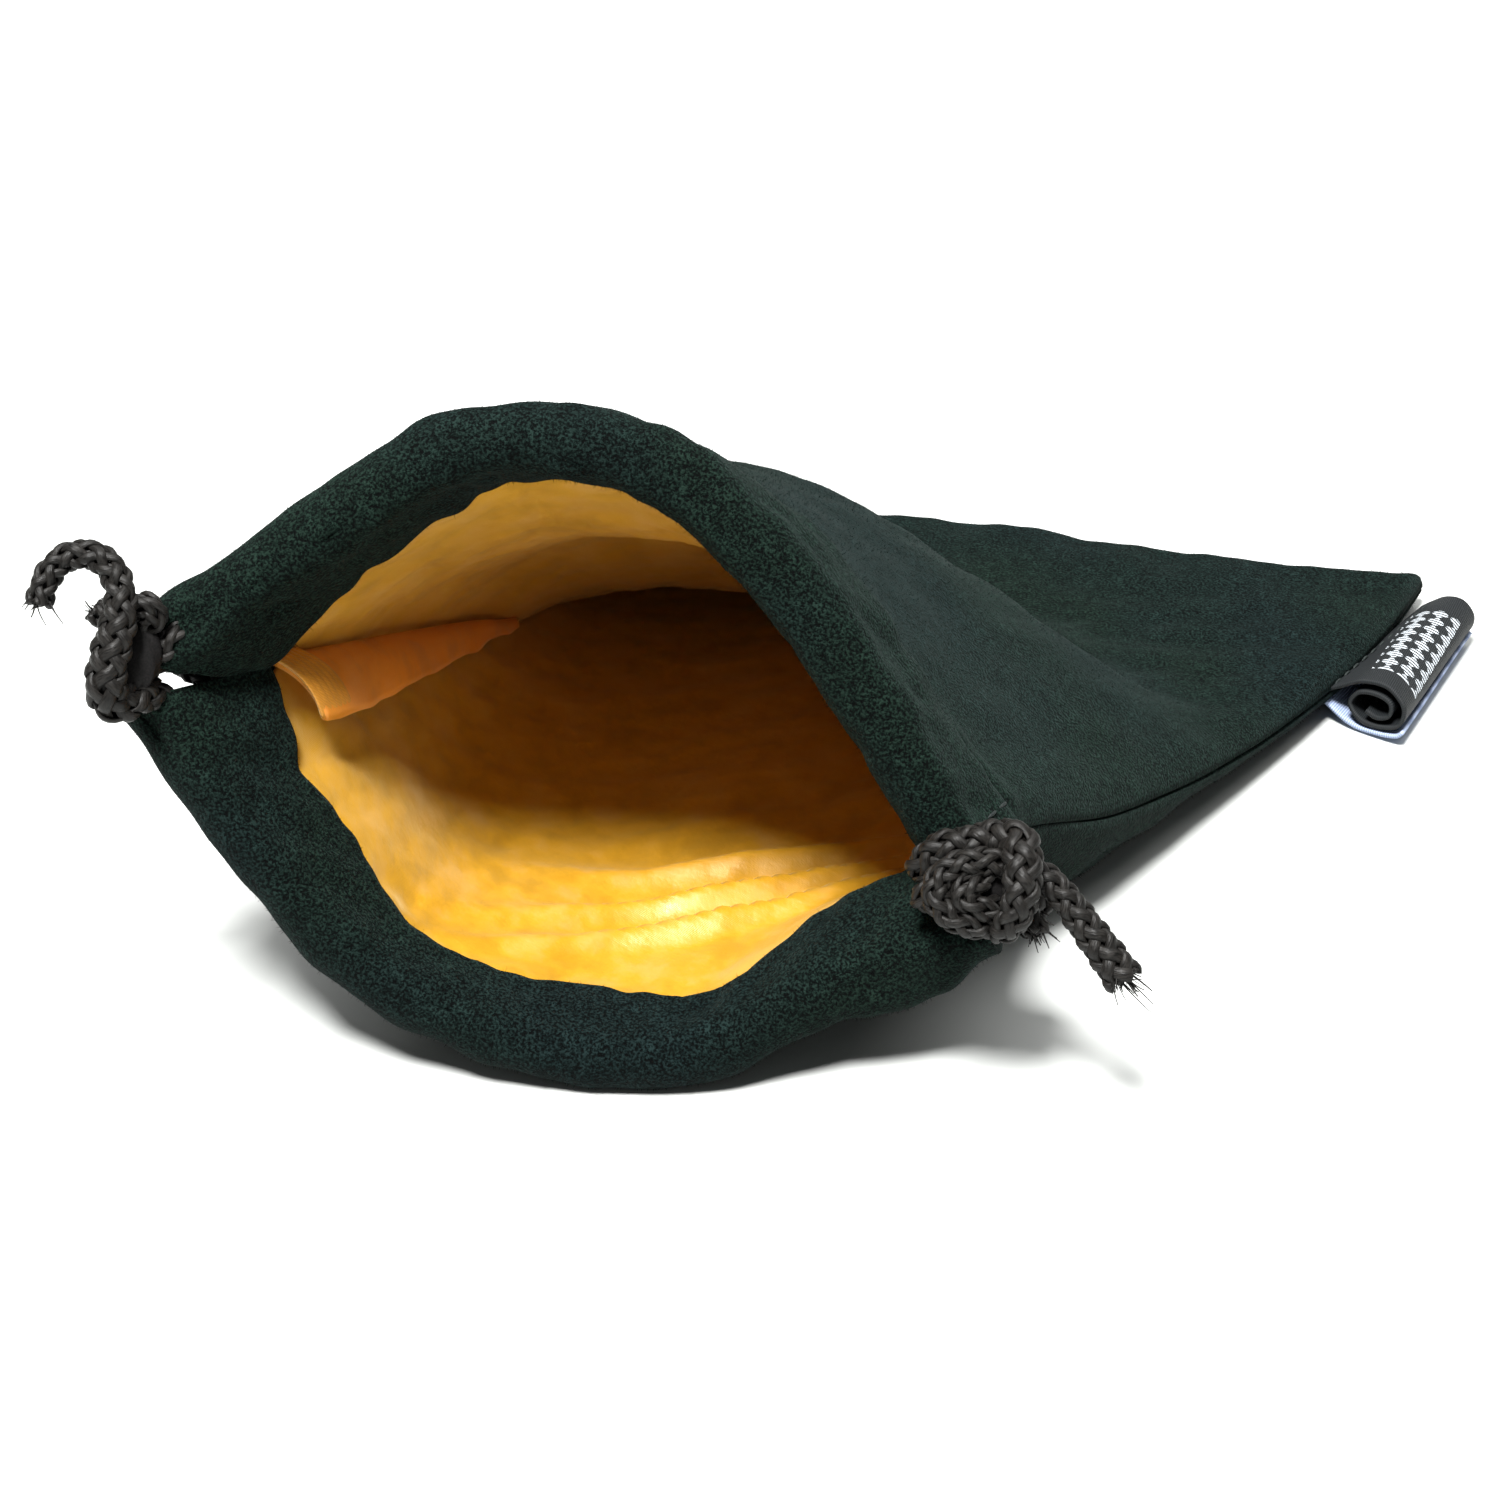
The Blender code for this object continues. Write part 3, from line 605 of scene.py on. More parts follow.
def flap_places(flap, along, share, lift):
    """A sheet that stands into the bag from just inside a side seam."""
    side = flap["side"]
    root = seam_middle(np.array([side * 1.0]), along)[:, 0] + np.array([-side * 2.4, 0, 0.4])
    inward, up = flap_reach(flap, along, share)
    return root[:, None, :] + np.stack([-side * inward, inward * 0, up + lift], axis=2)


def seam_flap(name, flap, finish):
    """The lining's seam allowance, standing into the bag along a side seam."""
    along = np.linspace(52.0, SEAM_LENGTH + 0.8, 90)
    places = flap_places(flap, along, np.linspace(0, 1, 14), 0.0)
    return grid_object(name, places, False, 2 * SATIN, finish)


def flap_hem(name, flap, finish):
    """The ribbed woven edge across the front of a seam flap."""
    along = np.linspace(SEAM_LENGTH - 3.6, SEAM_LENGTH + 1.2, 41)
    rib = 0.11 * np.abs(np.sin((along - along[0]) * math.pi / 0.8))[:, None]
    places = flap_places(flap, along, np.linspace(0.02, 1.03, 24), SATIN + 0.25 + rib)
    return grid_object(name, places, False, SATIN, finish)


# ---- cords
def route_curve(points, step):
    """Evenly spaced places on a smooth curve through a route."""
    fine = smooth_line(points, 40 * len(points))
    travelled = distances(fine)
    even = np.linspace(0, travelled[-1], max(8, int(travelled[-1] / step)))
    return read_line(fine, travelled, even)


def smooth_line(points, count):
    """A smooth curve through points, read at a count of places."""
    points = np.asarray(points, float)
    knots = distances(points)
    return smooth(knots, points, np.linspace(0, knots[-1], count))


def carried_frames(route):
    """Tangent, normal and side along a route, turning as little as possible."""
    tangent = unit(np.gradient(route, axis=0))
    normal = np.zeros_like(tangent)
    normal[0] = unit(np.cross(tangent[0], [0.3, 0.2, 1.0]))
    for k in range(1, len(route)):
        normal[k] = unit(normal[k - 1] - tangent[k] * np.dot(normal[k - 1], tangent[k]))
    return tangent, normal, np.cross(tangent, normal)


def tube(line, radial, width, thickness, sides, first):
    """Places and faces of one closed tube with an oval section, numbered from first."""
    tangent = unit(np.gradient(line, axis=0))
    across = unit(np.cross(tangent, radial))
    angle = np.linspace(0, 2 * math.pi, sides, endpoint=False)
    ring = (line[:, None, :]
            + across[:, None, :] * (np.cos(angle)[None, :, None] * width[:, None, None])
            + radial[:, None, :] * (np.sin(angle)[None, :, None] * thickness[:, None, None]))
    count = len(line)
    index = first + np.arange(count * sides).reshape(count, sides)
    after = np.roll(index, -1, axis=1)
    faces = np.stack([index[:-1], after[:-1], after[1:], index[1:]], axis=2).reshape(-1, 4).tolist()
    faces.append(index[0, ::-1].tolist())
    faces.append(index[-1].tolist())
    return ring.reshape(-1, 3), faces


def tube_uv(line, sides):
    """Round and along a tube, for each of its places."""
    turned = np.linspace(0, 1, sides, endpoint=False)
    uv = np.stack(np.broadcast_arrays(turned[None, :], distances(line)[:, None]), axis=2)
    return uv.reshape(-1, 2)


def tubes_object(name, tubes, finish):
    """One object from tubes, each given as its line, radial, width, thickness and sides."""
    verts, faces = [], []
    first = 0
    for parts in tubes:
        places, tube_faces = tube(*parts, first)
        verts.append(places)
        faces.extend(tube_faces)
        first += len(places)
    return new_object(name, np.concatenate(verts), faces, finish)


def braid(name, route, diameter, finish, breadths=((0.0, 1.0), (1.0, 1.0)), sides=STRAND_SIDES):
    """A round braid of eight strands that pass over and under each other."""
    tangent, normal, side = carried_frames(route)
    travelled = distances(route)
    shares, factors = zip(*breadths)
    broad = np.interp(travelled / travelled[-1], shares, factors)
    facing = unit(np.cross(tangent, VIEW_AXES[2]))
    turn = 2 * math.pi * travelled / (BRAID_PITCH * diameter)
    width = diameter * STRAND_WIDTH / 2 * broad
    thickness = np.full(len(route), diameter * STRAND_THICKNESS / 2)
    tubes = []
    for way in (1, -1):
        orbit = diameter * (STRAND_ORBIT + way * STRAND_WEAVE * np.cos(STRANDS_EACH_WAY * turn))
        for strand in range(STRANDS_EACH_WAY):
            angle = way * turn + strand * 2 * math.pi / STRANDS_EACH_WAY
            radial = normal * np.cos(angle)[:, None] + side * np.sin(angle)[:, None]
            offset = radial * orbit[:, None]
            sideways = np.sum(offset * facing, axis=1) * (broad - 1)
            line = route + offset + facing * sideways[:, None]
            tubes.append((line, radial, width, thickness, sides))
    core = np.full(len(route), diameter * CORE_RADIUS)
    tubes.append((route, normal, core * broad, core, CORE_SIDES))
    made = tubes_object(name, tubes, finish)
    add_uv(made, "along_mm", np.concatenate([tube_uv(parts[0], parts[-1]) for parts in tubes]))
    return made


def casing_run(panel, along, start, end):
    """A cord's places inside one casing."""
    across = np.linspace(start, end, 30)
    middle = panel_middle(panel, across, np.array([along]))[0]
    return middle + panel_outward(panel, across, np.array([along]))[0] * CORD_SINK


def bezier(points, share):
    rest = 1 - share
    weights = (rest**3, 3 * rest**2 * share, 3 * rest * share**2, share**3)
    return sum(weight * point for weight, point in zip(weights, points))


def drawcord_route(along, knot_side):
    """The whole loop of a drawcord: out of its knot, round both casings and back."""
    far = -knot_side
    upper_run = casing_run(UPPER, along, knot_side * LOOP_END, far * LOOP_TURN)
    lower_run = casing_run(LOWER, along, far * LOOP_TURN, knot_side * LOOP_END)
    bulge = np.array([far * TURN_BULGE, 0.0, 0.0])
    top_arm = upper_run[-1] + unit(upper_run[-1] - upper_run[-2]) * TURN_REACH + bulge
    bottom_arm = lower_run[0] + unit(lower_run[0] - lower_run[1]) * TURN_REACH + bulge
    turn = [bezier((upper_run[-1], top_arm, bottom_arm, lower_run[0]), share)
            for share in np.linspace(0, 1, TURN_POINTS + 2)[1:-1]]
    return np.concatenate([upper_run, turn, lower_run])


def knot_place(side, route):
    """Sewing places from places in a knot's own axes."""
    return KNOT_CENTRES[side] + np.asarray(route, float) @ VIEW_AXES


def knot_heart(side, finish):
    """The turns that can't be seen in the middle of a knot, as one lumpy ball of yarn."""
    place, radii = KNOT_HEARTS[side]
    rings = np.linspace(0.05, math.pi - 0.05, 20)
    steps = np.linspace(0, 2 * math.pi, 33)[:-1]
    polar, around = np.meshgrid(rings, steps, indexing="ij")
    level = np.sin(polar)
    ball = np.stack([level * np.cos(around), np.cos(polar), level * np.sin(around)], axis=2)
    lumps = 1 + 0.05 * np.sin(7 * around + 5 * polar)[..., None]
    verts = knot_place(side, place + (ball * lumps).reshape(-1, 3) * radii)
    index = np.arange(polar.size).reshape(polar.shape)
    after = np.roll(index, -1, axis=1)
    faces = np.stack([index[:-1], index[1:], after[1:], after[:-1]], axis=2).reshape(-1, 4).tolist()
    faces.append(index[0].tolist())
    faces.append(index[-1, ::-1].tolist())
    made = new_object(f"{side}_knot_heart", verts, faces, finish)
    add_uv(made, "along_mm", np.stack([around, polar * 3], axis=2).reshape(-1, 2))
    return made


def yarn_ends(name, tip, direction, yarns, finish):
    """The loose yarns of a cut cord: thin bent tubes that fan out from its end."""
    source = np.random.default_rng(yarns["seed"])
    direction = unit(np.asarray(direction, float))
    share = np.linspace(0, 1, 7)[:, None]
    tubes = []
    for _ in range(yarns["count"]):
        start = tip + source.normal(0, yarns["spread"] * 0.5, 3) - direction * 0.8
        heading = unit(direction + source.normal(0, 0.35, 3))
        bend = source.normal(0, 0.5, 3)
        reach = yarns["length"] * source.uniform(0.5, 1.15)
        line = start + heading * reach * share + bend * reach * share**2 * 0.6
        line[:, 2] = np.maximum(line[:, 2], 0.3)
        radius = source.uniform(0.07, 0.16) * (1 - 0.6 * share[:, 0])
        radial = unit(np.cross(unit(np.gradient(line, axis=0)), [0.2, 0.9, 0.4]))
        tubes.append((line, radial, radius, radius, YARN_SIDES))
    return tubes_object(name, tubes, finish)


# ---- stitches
def stitches(name, line, lift, stitch, finish):
    """A row of short stitches along a line, each a small closed capsule."""
    length, gap, radius = stitch
    travelled = distances(line)
    share = np.linspace(0, 1, 7)
    swell = radius * np.sqrt(np.clip(1 - (2 * share - 1) ** 4, 0.08, 1))
    tubes = []
    for start in np.arange(0, travelled[-1] - length, length + gap):
        at = start + share * length
        up = unit(read_line(lift, travelled, at))
        middle = read_line(line, travelled, at) + up * (np.sin(share * math.pi)[:, None] * radius)
        tubes.append((middle, up, swell, swell, STITCH_SIDES))
    return tubes_object(name, tubes, finish)


# ---- label
def label_axes():
    """Out of the seam and up from it, across the label."""
    axis = (LABEL_END - LABEL_START).normalized()
    out = axis.cross(Vector((0.0, 0.0, 1.0))).normalized()
    return np.array(out), np.array(out.cross(axis))


def label_root(share):
    """Places on the label's line at the seam."""
    return np.array(LABEL_START) * (1 - share) + np.array(LABEL_END) * share + LABEL_SHIFT


def label_grid(near, far, columns):
    """A layer of the label, drawn from its section at the near end to that at the far end."""
    out, up = label_axes()
    share = np.linspace(0, 1, 50)[:, None, None]
    section = smooth_line(near, columns)[None] * (1 - share) + smooth_line(far, columns)[None] * share
    root = label_root(share)
    curl = 0.12 * np.sin(share * 9.0 + section[..., :1] * 0.8)
    places = root + (out * section[..., :1] + up * (section[..., 1:] + curl)) * LABEL_SIZE
    places[..., 2] = np.maximum(places[..., 2], 0.3)
    return places


# ---- materials
def set_socket(tree, socket, value):
    """Links a socket to another one's output, or gives it a value."""
    if isinstance(value, bpy.types.NodeSocket):
        tree.links.new(value, socket)
    else:
        socket.default_value = value


def set_inputs(tree, node, **inputs):
    """Sets a node's inputs by their names, with _ for each space."""
    for name, value in inputs.items():
        set_socket(tree, node.inputs[name.replace("_", " ")], value)


def new_material(name, **inputs):
    made = bpy.data.materials.new(name)
    made.use_nodes = True
    shader = made.node_tree.nodes["Principled BSDF"]
    set_inputs(made.node_tree, shader, **inputs)
    return made, made.node_tree, shader


def add_node(tree, kind, **inputs):
    node = tree.nodes.new(kind)
    set_inputs(tree, node, **inputs)
    return node


def mapped(tree, vector, **inputs):
    return add_node(tree, "ShaderNodeMapping", Vector=vector, **inputs).outputs["Vector"]


def mm_coordinates(tree):
    """Object coordinates in millimetres."""
    place = tree.nodes.new("ShaderNodeTexCoord")
    return mapped(tree, place.outputs["Object"], Scale=(1 / MM, 1 / MM, 1 / MM))


def uv_coordinates(tree, layer, stretch=(1.0, 1.0, 1.0)):
    place = tree.nodes.new("ShaderNodeUVMap")
    place.uv_map = layer
    return mapped(tree, place.outputs["UV"], Scale=stretch)


def noise(tree, vector, scale, detail, roughness):
    node = add_node(tree, "ShaderNodeTexNoise", Vector=vector, Scale=scale, Detail=detail,
                    Roughness=roughness)
    return node.outputs["Fac"]


def wave(tree, vector, direction, **inputs):
    node = add_node(tree, "ShaderNodeTexWave", Vector=vector, **inputs)
    node.bands_direction = direction
    return node.outputs["Fac"]


def ramp(tree, value, stops):
    """A colour ramp; a stop's colour may be one grey level."""
    node = add_node(tree, "ShaderNodeValToRGB", Fac=value)
    elements = node.color_ramp.elements
    for place, _ in stops[1:-1]:
        elements.new(place)
    for element, (place, colour) in zip(elements, stops):
        element.position = place
        element.color = (colour, colour, colour, 1) if isinstance(colour, float) else (*colour, 1)
    return node.outputs["Color"]


def blend_colours(tree, mode, share, first, second):
    node = tree.nodes.new("ShaderNodeMix")
    node.data_type = "RGBA"
    node.blend_type = mode
    sockets = {socket.identifier: socket for socket in node.inputs}
    for name, value in (("Factor_Float", share), ("A_Color", first), ("B_Color", second)):
        set_socket(tree, sockets[name], value)
    return next(socket for socket in node.outputs if socket.identifier == "Result_Color")


def multiply(tree, first, second):
    return blend_colours(tree, "MULTIPLY", 1.0, first, second)


def calculate(tree, operation, *values):
    node = tree.nodes.new("ShaderNodeMath")
    node.operation = operation
    for socket, value in zip(node.inputs, values):
        set_socket(tree, socket, value)
    return node.outputs[0]


def sum_values(tree, first, first_share, second, second_share):
    scaled = calculate(tree, "MULTIPLY", first, first_share)
    return calculate(tree, "MULTIPLY_ADD", second, second_share, scaled)


def bump(tree, shader, height, strength, distance_mm):
    node = add_node(tree, "ShaderNodeBump", Strength=strength, Distance=distance_mm * MM, Height=height)
    set_inputs(tree, shader, Normal=node.outputs["Normal"])


def nap_material():
    """Dense black-green nap: speckled fibre ends, soft sheen, bluish and greener areas."""
    made, tree, shader = new_material(
        "black_green_nap", Specular_IOR_Level=0.05, Sheen_Weight=0.045, Sheen_Roughness=0.42,
        Sheen_Tint=(0.45, 0.66, 0.62, 1))
    place = mm_coordinates(tree)
    speckle = noise(tree, place, 3.6, 2.0, 0.6)
    tuft = noise(tree, place, 0.55, 2.0, 0.5)
    area = noise(tree, place, 0.035, 1.0, 0.5)
    fibre = ramp(tree, speckle, [(0.40, (0.0002, 0.0005, 0.0005)), (0.50, (0.0030, 0.0062, 0.0054)),
                                 (0.61, (0.0105, 0.0170, 0.0150))])
    hue = ramp(tree, area, [(0.38, (0.80, 0.98, 1.10)), (0.62, (0.85, 1.10, 0.92))])
    worn = ramp(tree, tuft, [(0.45, 0.85), (0.75, 1.35)])
    colour = multiply(tree, multiply(tree, fibre, hue), worn)
    rough = ramp(tree, speckle, [(0.3, 0.75), (0.7, 0.95)])
    set_inputs(tree, shader, Base_Color=colour, Roughness=rough)
    bump(tree, shader, sum_values(tree, speckle, 1.0, tuft, 0.6), 0.75, 0.45)
    return made


def fibre_material():
    made, tree, shader = new_material("nap_fibres", Roughness=0.8, Specular_IOR_Level=0.08)
    shade = noise(tree, mm_coordinates(tree), 1.4, 2.0, 0.7)
    colour = ramp(tree, shade, [(0.38, (0.001, 0.002, 0.002)), (0.62, (0.007, 0.0125, 0.011))])
    set_inputs(tree, shader, Base_Color=colour)
    return made


def satin_material(name, tint, weave_pitch):
    """Gold satin: fine slanting twill, mottled gloss and warm shadows; the palest mottles are a painted
    highlight.
    """
    made, tree, shader = new_material(
        name, Specular_IOR_Level=1.0, Specular_Tint=(1.0, 0.86, 0.60, 1), Sheen_Weight=0.42,
        Sheen_Roughness=0.45, Sheen_Tint=(1.0, 0.80, 0.40, 1))
    place = mm_coordinates(tree)
    mottle = noise(tree, place, 0.20, 4.0, 0.60)
    grain = noise(tree, place, 2.2, 2.0, 0.6)
    cloth = uv_coordinates(tree, "cloth_mm")
    twill = wave(tree, cloth, "DIAGONAL", Scale=1 / weave_pitch, Distortion=0.6)
    # The mottles are random tone; their palest stop, towards white, is a painted highlight.
    pale = tuple(c + SATIN_PAINTED_HIGHLIGHT * (1 - c) for c in tint)
    colour = ramp(tree, mottle, [(0.36, tuple(0.84 * c for c in tint)), (0.50, tint), (0.66, pale)])
    lines = ramp(tree, twill, [(0.0, 0.80), (0.6, 1.0)])
    colour = blend_colours(tree, "MULTIPLY", 0.6, colour, lines)
    gloss = ramp(tree, mottle, [(0.35, 0.33), (0.65, 0.48)])
    set_inputs(tree, shader, Base_Color=colour, Roughness=gloss)
    height = sum_values(tree, sum_values(tree, mottle, 0.7, grain, 0.12), 1.0, twill, 0.06)
    bump(tree, shader, height, 0.55, 0.40)
    return made


def cord_material():
    """Braided yarn: plies along each strand, dark gaps and a dull grey gloss."""
    made, tree, shader = new_material(
        "black_cord_yarn", Specular_IOR_Level=0.22, Sheen_Weight=0.02, Sheen_Roughness=0.4,
        Sheen_Tint=(0.7, 0.65, 0.6, 1))
    ply = noise(tree, uv_coordinates(tree, "along_mm", (26.0, 1.4, 1.0)), 1.0, 2.0, 0.5)
    dust = noise(tree, mm_coordinates(tree), 0.9, 3.0, 0.6)
    colour = ramp(tree, ply, [(0.35, (0.002, 0.0018, 0.0016)), (0.62, (0.0125, 0.0112, 0.0100))])
    colour = multiply(tree, colour, ramp(tree, dust, [(0.4, 0.8), (0.7, 1.5)]))
    gloss = ramp(tree, ply, [(0.3, 0.38), (0.7, 0.55)])
    set_inputs(tree, shader, Base_Color=colour, Roughness=gloss)
    bump(tree, shader, ply, 0.6, 0.12)
    return made


def thread_material(name, dark, light):
    made, tree, shader = new_material(name, Roughness=0.6, Specular_IOR_Level=0.15)
    twist = noise(tree, mm_coordinates(tree), 6.0, 2.0, 0.5)
    set_inputs(tree, shader, Base_Color=ramp(tree, twist, [(0.35, dark), (0.65, light)]))
    bump(tree, shader, twist, 0.5, 0.05)
    return made


def label_material():
    """Black woven tape with a plain band of small diamonds woven in white."""
    made, tree, shader = new_material("woven_label_face", Roughness=0.6, Specular_IOR_Level=0.25)
    cloth = uv_coordinates(tree, "cloth_mm")
    slanted = mapped(tree, cloth, Rotation=(0.0, 0.0, math.radians(45)))
    diamonds = add_node(tree, "ShaderNodeTexChecker", Vector=slanted, Scale=0.62)
    lines = ramp(tree, wave(tree, cloth, "Y", Scale=0.55), [(0.35, 0.0), (0.45, 1.0)])
    motif = multiply(tree, lines, band_mask(tree, cloth))
    motif = multiply(tree, motif, diamonds.outputs["Fac"])
    rib = wave(tree, cloth, "X", Scale=1.3, Distortion=0.3)
    dark = ramp(tree, rib, [(0.2, (0.006, 0.007, 0.008)), (0.8, (0.016, 0.019, 0.021))])
    pale = ramp(tree, rib, [(0.2, (0.40, 0.44, 0.48)), (0.8, (0.66, 0.70, 0.74))])
    colour = blend_colours(tree, "MIX", motif, dark, pale)
    set_inputs(tree, shader, Base_Color=colour)
    bump(tree, shader, rib, 0.5, 0.1)
    return made


def band_mask(tree, vector):
    """1 inside the patch of tape that carries the motif, 0 elsewhere."""
    parts = add_node(tree, "ShaderNodeSeparateXYZ", Vector=vector)
    across = calculate(tree, "COMPARE", parts.outputs["X"], *MOTIF_ACROSS)
    along = calculate(tree, "COMPARE", parts.outputs["Y"], *MOTIF_ALONG)
    return multiply(tree, across, along)


def label_back_material():
    made, tree, shader = new_material("woven_label_back", Roughness=0.6)
    rib = wave(tree, uv_coordinates(tree, "cloth_mm"), "X", Scale=1.1, Distortion=0.5)
    colour = ramp(tree, rib, [(0.2, (0.22, 0.28, 0.44)), (0.8, (0.42, 0.50, 0.70))])
    set_inputs(tree, shader, Base_Color=colour)
    bump(tree, shader, rib, 0.5, 0.1)
    return made


# ---- stage
def add_camera():
    data = bpy.data.cameras.new("camera")
    data.lens = CAMERA_LENS
    data.clip_start = CAMERA_CLIP
    made = bpy.data.objects.new("camera", data)
    turned = Matrix(VIEW_AXES.tolist()).transposed().to_4x4()
    turned.translation = Vector(to_row(CAMERA_PLACE))
    made.matrix_world = turned
    bpy.context.scene.collection.objects.link(made)
    bpy.context.scene.camera = made


def add_area_light(name, place, size, power):
    data = bpy.data.lights.new(name, "AREA")
    data.shape = "DISK"
    data.size = size
    data.energy = power
    data.color = LIGHT_COLOUR
    made = bpy.data.objects.new(name, data)
    made.location = place
    aim = Vector(LIGHT_TARGET) - Vector(place)
    made.rotation_euler = aim.to_track_quat("-Z", "Y").to_euler()
    bpy.context.scene.collection.objects.link(made)


def add_stage():
    bpy.ops.mesh.primitive_plane_add(size=TABLE_SIZE, location=(0, 0, TABLE_LEVEL))
    table = bpy.context.object
    table.name = "table"
    finish = new_material("white_table", Base_Color=TABLE_WHITE, Roughness=0.9, Specular_IOR_Level=0.1)
    table.data.materials.append(finish[0])
    world = bpy.data.worlds.new("studio")
    bpy.context.scene.world = world
    world.use_nodes = True
    sky = world.node_tree.nodes["Background"]
    set_inputs(world.node_tree, sky, Color=SKY_COLOUR, Strength=SKY_STRENGTH)
    for light in LIGHTS:
        add_area_light(*light)
    bpy.context.scene.view_settings.view_transform = "Standard"


# ---- pieces
def pulled(piece, body):
    """The piece rides on a body, and gets a mesh of its own."""
    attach(piece, body)
    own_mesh(piece)
    return piece


def build_outer(panel, side_name, finish, fibres):
    places = outer_places(panel)
    flip = panel["outward"] < 0
    cloth = grid_object(f"outer_{side_name}_cloth", places, flip, CLOTH, finish)
    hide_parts(f"outer_{side_name}_panel")
    normals = grid_normals(places, panel["outward"])
    fuzz = nap(f"outer_{side_name}_nap", places, normals, panel["seed"] + 40, fibres)
    pulled(cloth, "bag")
    pulled(fuzz, "bag")


def build_lining(panel, side_name, finish):
    places = lining_places(panel)
    flip = panel["outward"] < 0
    cloth = grid_object(f"lining_{side_name}_satin", places, flip, SATIN, finish)
    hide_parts(f"lining_{side_name}_panel")
    pulled(cloth, "bag")


def build_flap(side_name, flap, finish, edge_finish):
    piece = seam_flap(f"{side_name}_lining_seam", flap, finish)
    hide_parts(f"{side_name}_seam_allowance")
    hem = flap_hem(f"{side_name}_lining_seam_hem", flap, edge_finish)
    pulled(piece, "bag")
    pulled(hem, "bag")


def build_drawcord(name, along, knot_side, finish):
    route = route_curve(drawcord_route(along, knot_side), CORD_STEP)
    cord = braid(f"{name}_in_casing", route, CORD, finish, sides=HIDDEN_STRAND_SIDES)
    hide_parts(name)
    pulled(cord, "bag")
    return route


def knot_lead(end, loop):
    """A knot cord's first places, just inside its casing's mouth and near the pull's line."""
    run = loop if end == "stub" else loop[::-1]
    mouth = run[0]
    inside = run[LEAD_AIM]
    level = np.array([np.sign(inside[0] - mouth[0]), 0.0, 0.0])
    inward = unit(unit(inside - mouth) + level)
    return np.stack([mouth + inward * KNOT_LEAD * share for share in LEAD_SHARES])


def build_knot_cord(side_name, end, nodes, loop, finish, heart_shade_finish):
    """One end of a drawcord: its share of the knot, and what comes out of it."""
    name = f"{side_name}_{end}"
    points = np.concatenate([knot_lead(end, loop), knot_place(side_name, KNOT_ROUTES[name])])
    route = route_curve(points, KNOT_STEP)
    cord = braid(f"{name}_cord", route, KNOT_CORD, finish, KNOT_BREADTHS[name])
    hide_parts(*nodes)
    ends = yarn_ends(f"{name}_yarn_ends", route[-1], route[-1] - route[-6], YARN_ENDS[name], finish)
    body = f"{side_name}_pull"
    pulled(cord, body)
    pulled(ends, body)
    if end == "tail":
        pulled(knot_heart(side_name, heart_shade_finish), body)


def build_cords():
    yarn = cord_material()
    # The knot hearts' yarn is darker than the cord's yarn: painted shade in the middle of each knot.
    heart_shade_yarn = thread_material("yarn_inside_knots_painted_shade", (0.002, 0.002, 0.002), (0.007, 0.006, 0.006))
    loops = {"left": build_drawcord("left_drawcord", SEAM_LENGTH + FRONT_CORD, -1, yarn),
             "right": build_drawcord("right_drawcord", SEAM_LENGTH + REAR_CORD, 1, yarn)}
    for name, loop in loops.items():
        build_knot_cord(name, "tail", [f"{name}_knot", f"{name}_tail"], loop, yarn, heart_shade_yarn)
        build_knot_cord(name, "stub", [f"{name}_stub"], loop, yarn, heart_shade_yarn)


def build_cloth():
    nap_cloth = nap_material()
    fibres = fibre_material()
    for side_name, panel in PANELS:
        build_outer(panel, side_name, nap_cloth, fibres)
    satin = satin_material("gold_satin_lining", LINING_GOLD, SATIN_WEAVE)
    # The seam flaps' satin is a brighter, deeper orange copy of the lining's: painted bounce light.
    seam_satin_painted_light = satin_material("gold_satin_seam_painted_light", SEAM_GOLD_PAINTED_LIGHT, SATIN_WEAVE)
    edge_satin = satin_material("gold_satin_edge", EDGE_GOLD, EDGE_WEAVE)
    for side_name, panel in PANELS:
        build_lining(panel, side_name, satin)
    for side_name, flap in FLAPS.items():
        build_flap(side_name, flap, seam_satin_painted_light, edge_satin)


def build_label(thread):
    face = label_material()
    back = label_back_material()
    out, up = label_axes()
    roll = label_grid(ROLL_NEAR, ROLL_FAR, 110)
    tape = grid_object("rolled_label", roll, True, LABEL_TAPE, face)
    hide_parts("woven_label")
    layer = label_grid(UNDER_NEAR, UNDER_FAR, 50)
    under = grid_object("label_under_layer", layer, True, LABEL_TAPE, back)
    line = label_root(np.linspace(0.03, 0.97, 40)[:, None])
    line = line + out * LABEL_STITCHES_OUT + up * LABEL_STITCHES_UP
    lift = np.broadcast_to(up, line.shape)
    sewn = stitches("label_stitches", line, lift, LABEL_STITCH, thread)
    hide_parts("label_stitching")
    for piece in (tape, under, sewn):
        pulled(piece, "label")


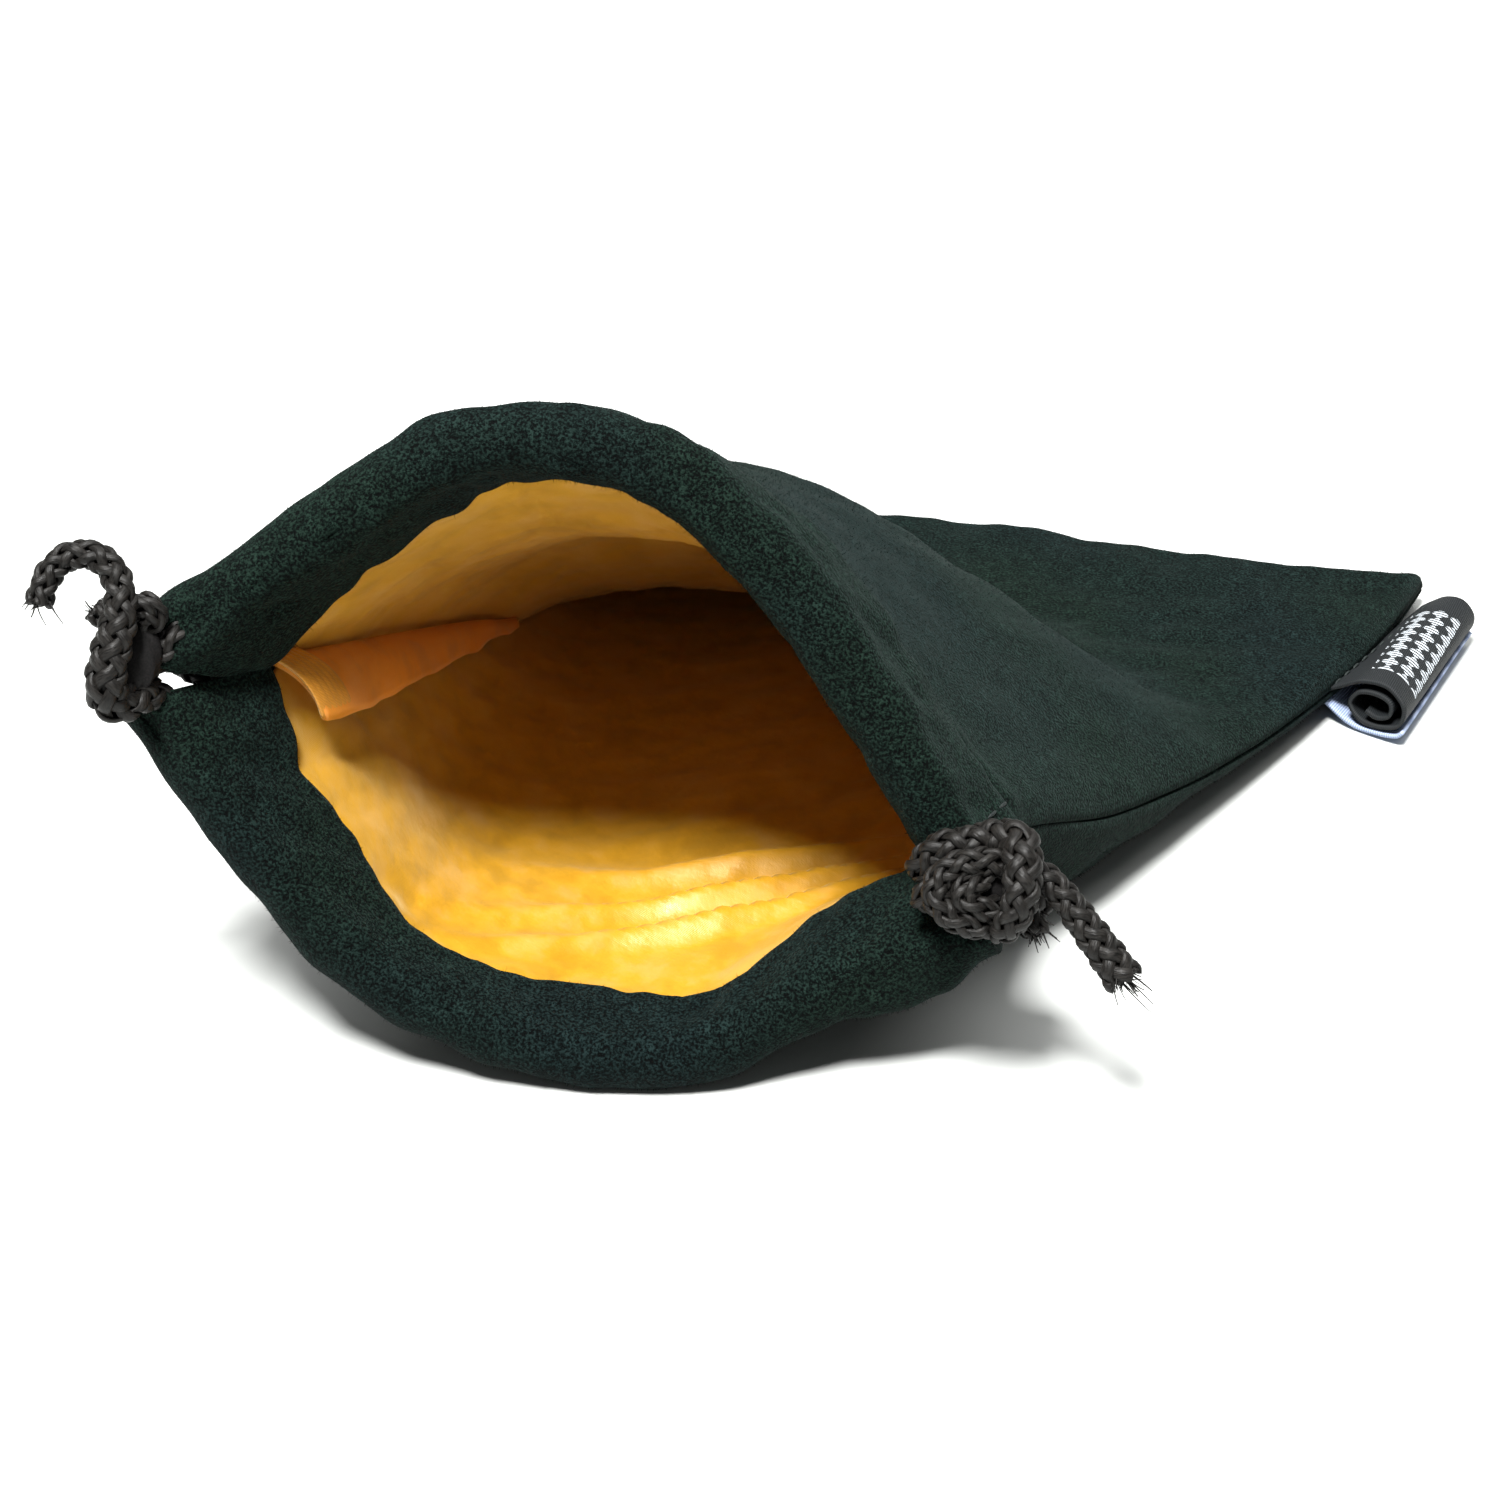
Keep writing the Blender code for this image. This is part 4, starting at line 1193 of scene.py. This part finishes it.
def sew(name, node, line, lift, stitch, thread):
    """A row of stitches in place of one of the bag's stitchings."""
    row = stitches(name, line, lift, stitch, thread)
    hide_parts(node)
    pulled(row, "bag")


def surface_line(panel, across, along, height):
    """Places over a panel, and its outward directions there."""
    middle = panel_middle(panel, across, along)
    outward = panel_outward(panel, across, along)
    return middle + outward * height, outward


def sew_casings(thread):
    for side_name, panel in PANELS:
        across = np.linspace(-CASING_STITCH_REACH, CASING_STITCH_REACH, 160)
        line, lift = surface_line(panel, across, np.array([SEAM_LENGTH]), CASING_STITCH_HEIGHT)
        sew(f"{side_name}_casing_stitches", f"{side_name}_casing_stitching", line[0], lift[0],
            CASING_STITCH, thread)
        for word, side in SIDES:
            across = np.array([side * END_STITCH_PLACE])
            along = np.linspace(*END_STITCH_ALONG, 30)
            line, lift = surface_line(panel, across, along, ROLL + END_STITCH_HEIGHT)
            sew(f"{side_name}_{word}_end_stitches", f"{side_name}_{word}_end_stitching", line[:, 0],
                lift[:, 0], END_STITCH, thread)


def sew_seams(thread):
    for word, side in SIDES:
        along = np.linspace(SEAM_STITCH_START[word], OPEN_FROM, 120)
        line = seam_middle(np.array([side * 1.0]), along)[:, 0]
        line = line - np.array([side * SEAM_STITCH_INSET, 0, 0])
        lift = np.broadcast_to([side * 1.0, 0, 0.2], line.shape)
        sew(f"{word}_seam_stitches", f"{word}_seam_thread", line, lift, SEAM_STITCH, thread)
    across = np.linspace(-BOTTOM_STITCH_REACH, BOTTOM_STITCH_REACH, 120)
    line = seam_middle(across, np.array([0.0]))[0]
    line = line - np.array([0, SEAM_STITCH_INSET, 0])
    lift = np.broadcast_to([0, 1.0, 0.2], line.shape)
    sew("bottom_seam_stitches", "bottom_seam_thread", line, lift, SEAM_STITCH, thread)


def build():
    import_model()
    add_camera()
    add_stage()
    build_cords()
    build_cloth()
    thread = thread_material("black_sewing_thread", (0.008, 0.011, 0.011), (0.028, 0.034, 0.033))
    build_label(thread)
    sew_casings(thread)
    sew_seams(thread)


build()
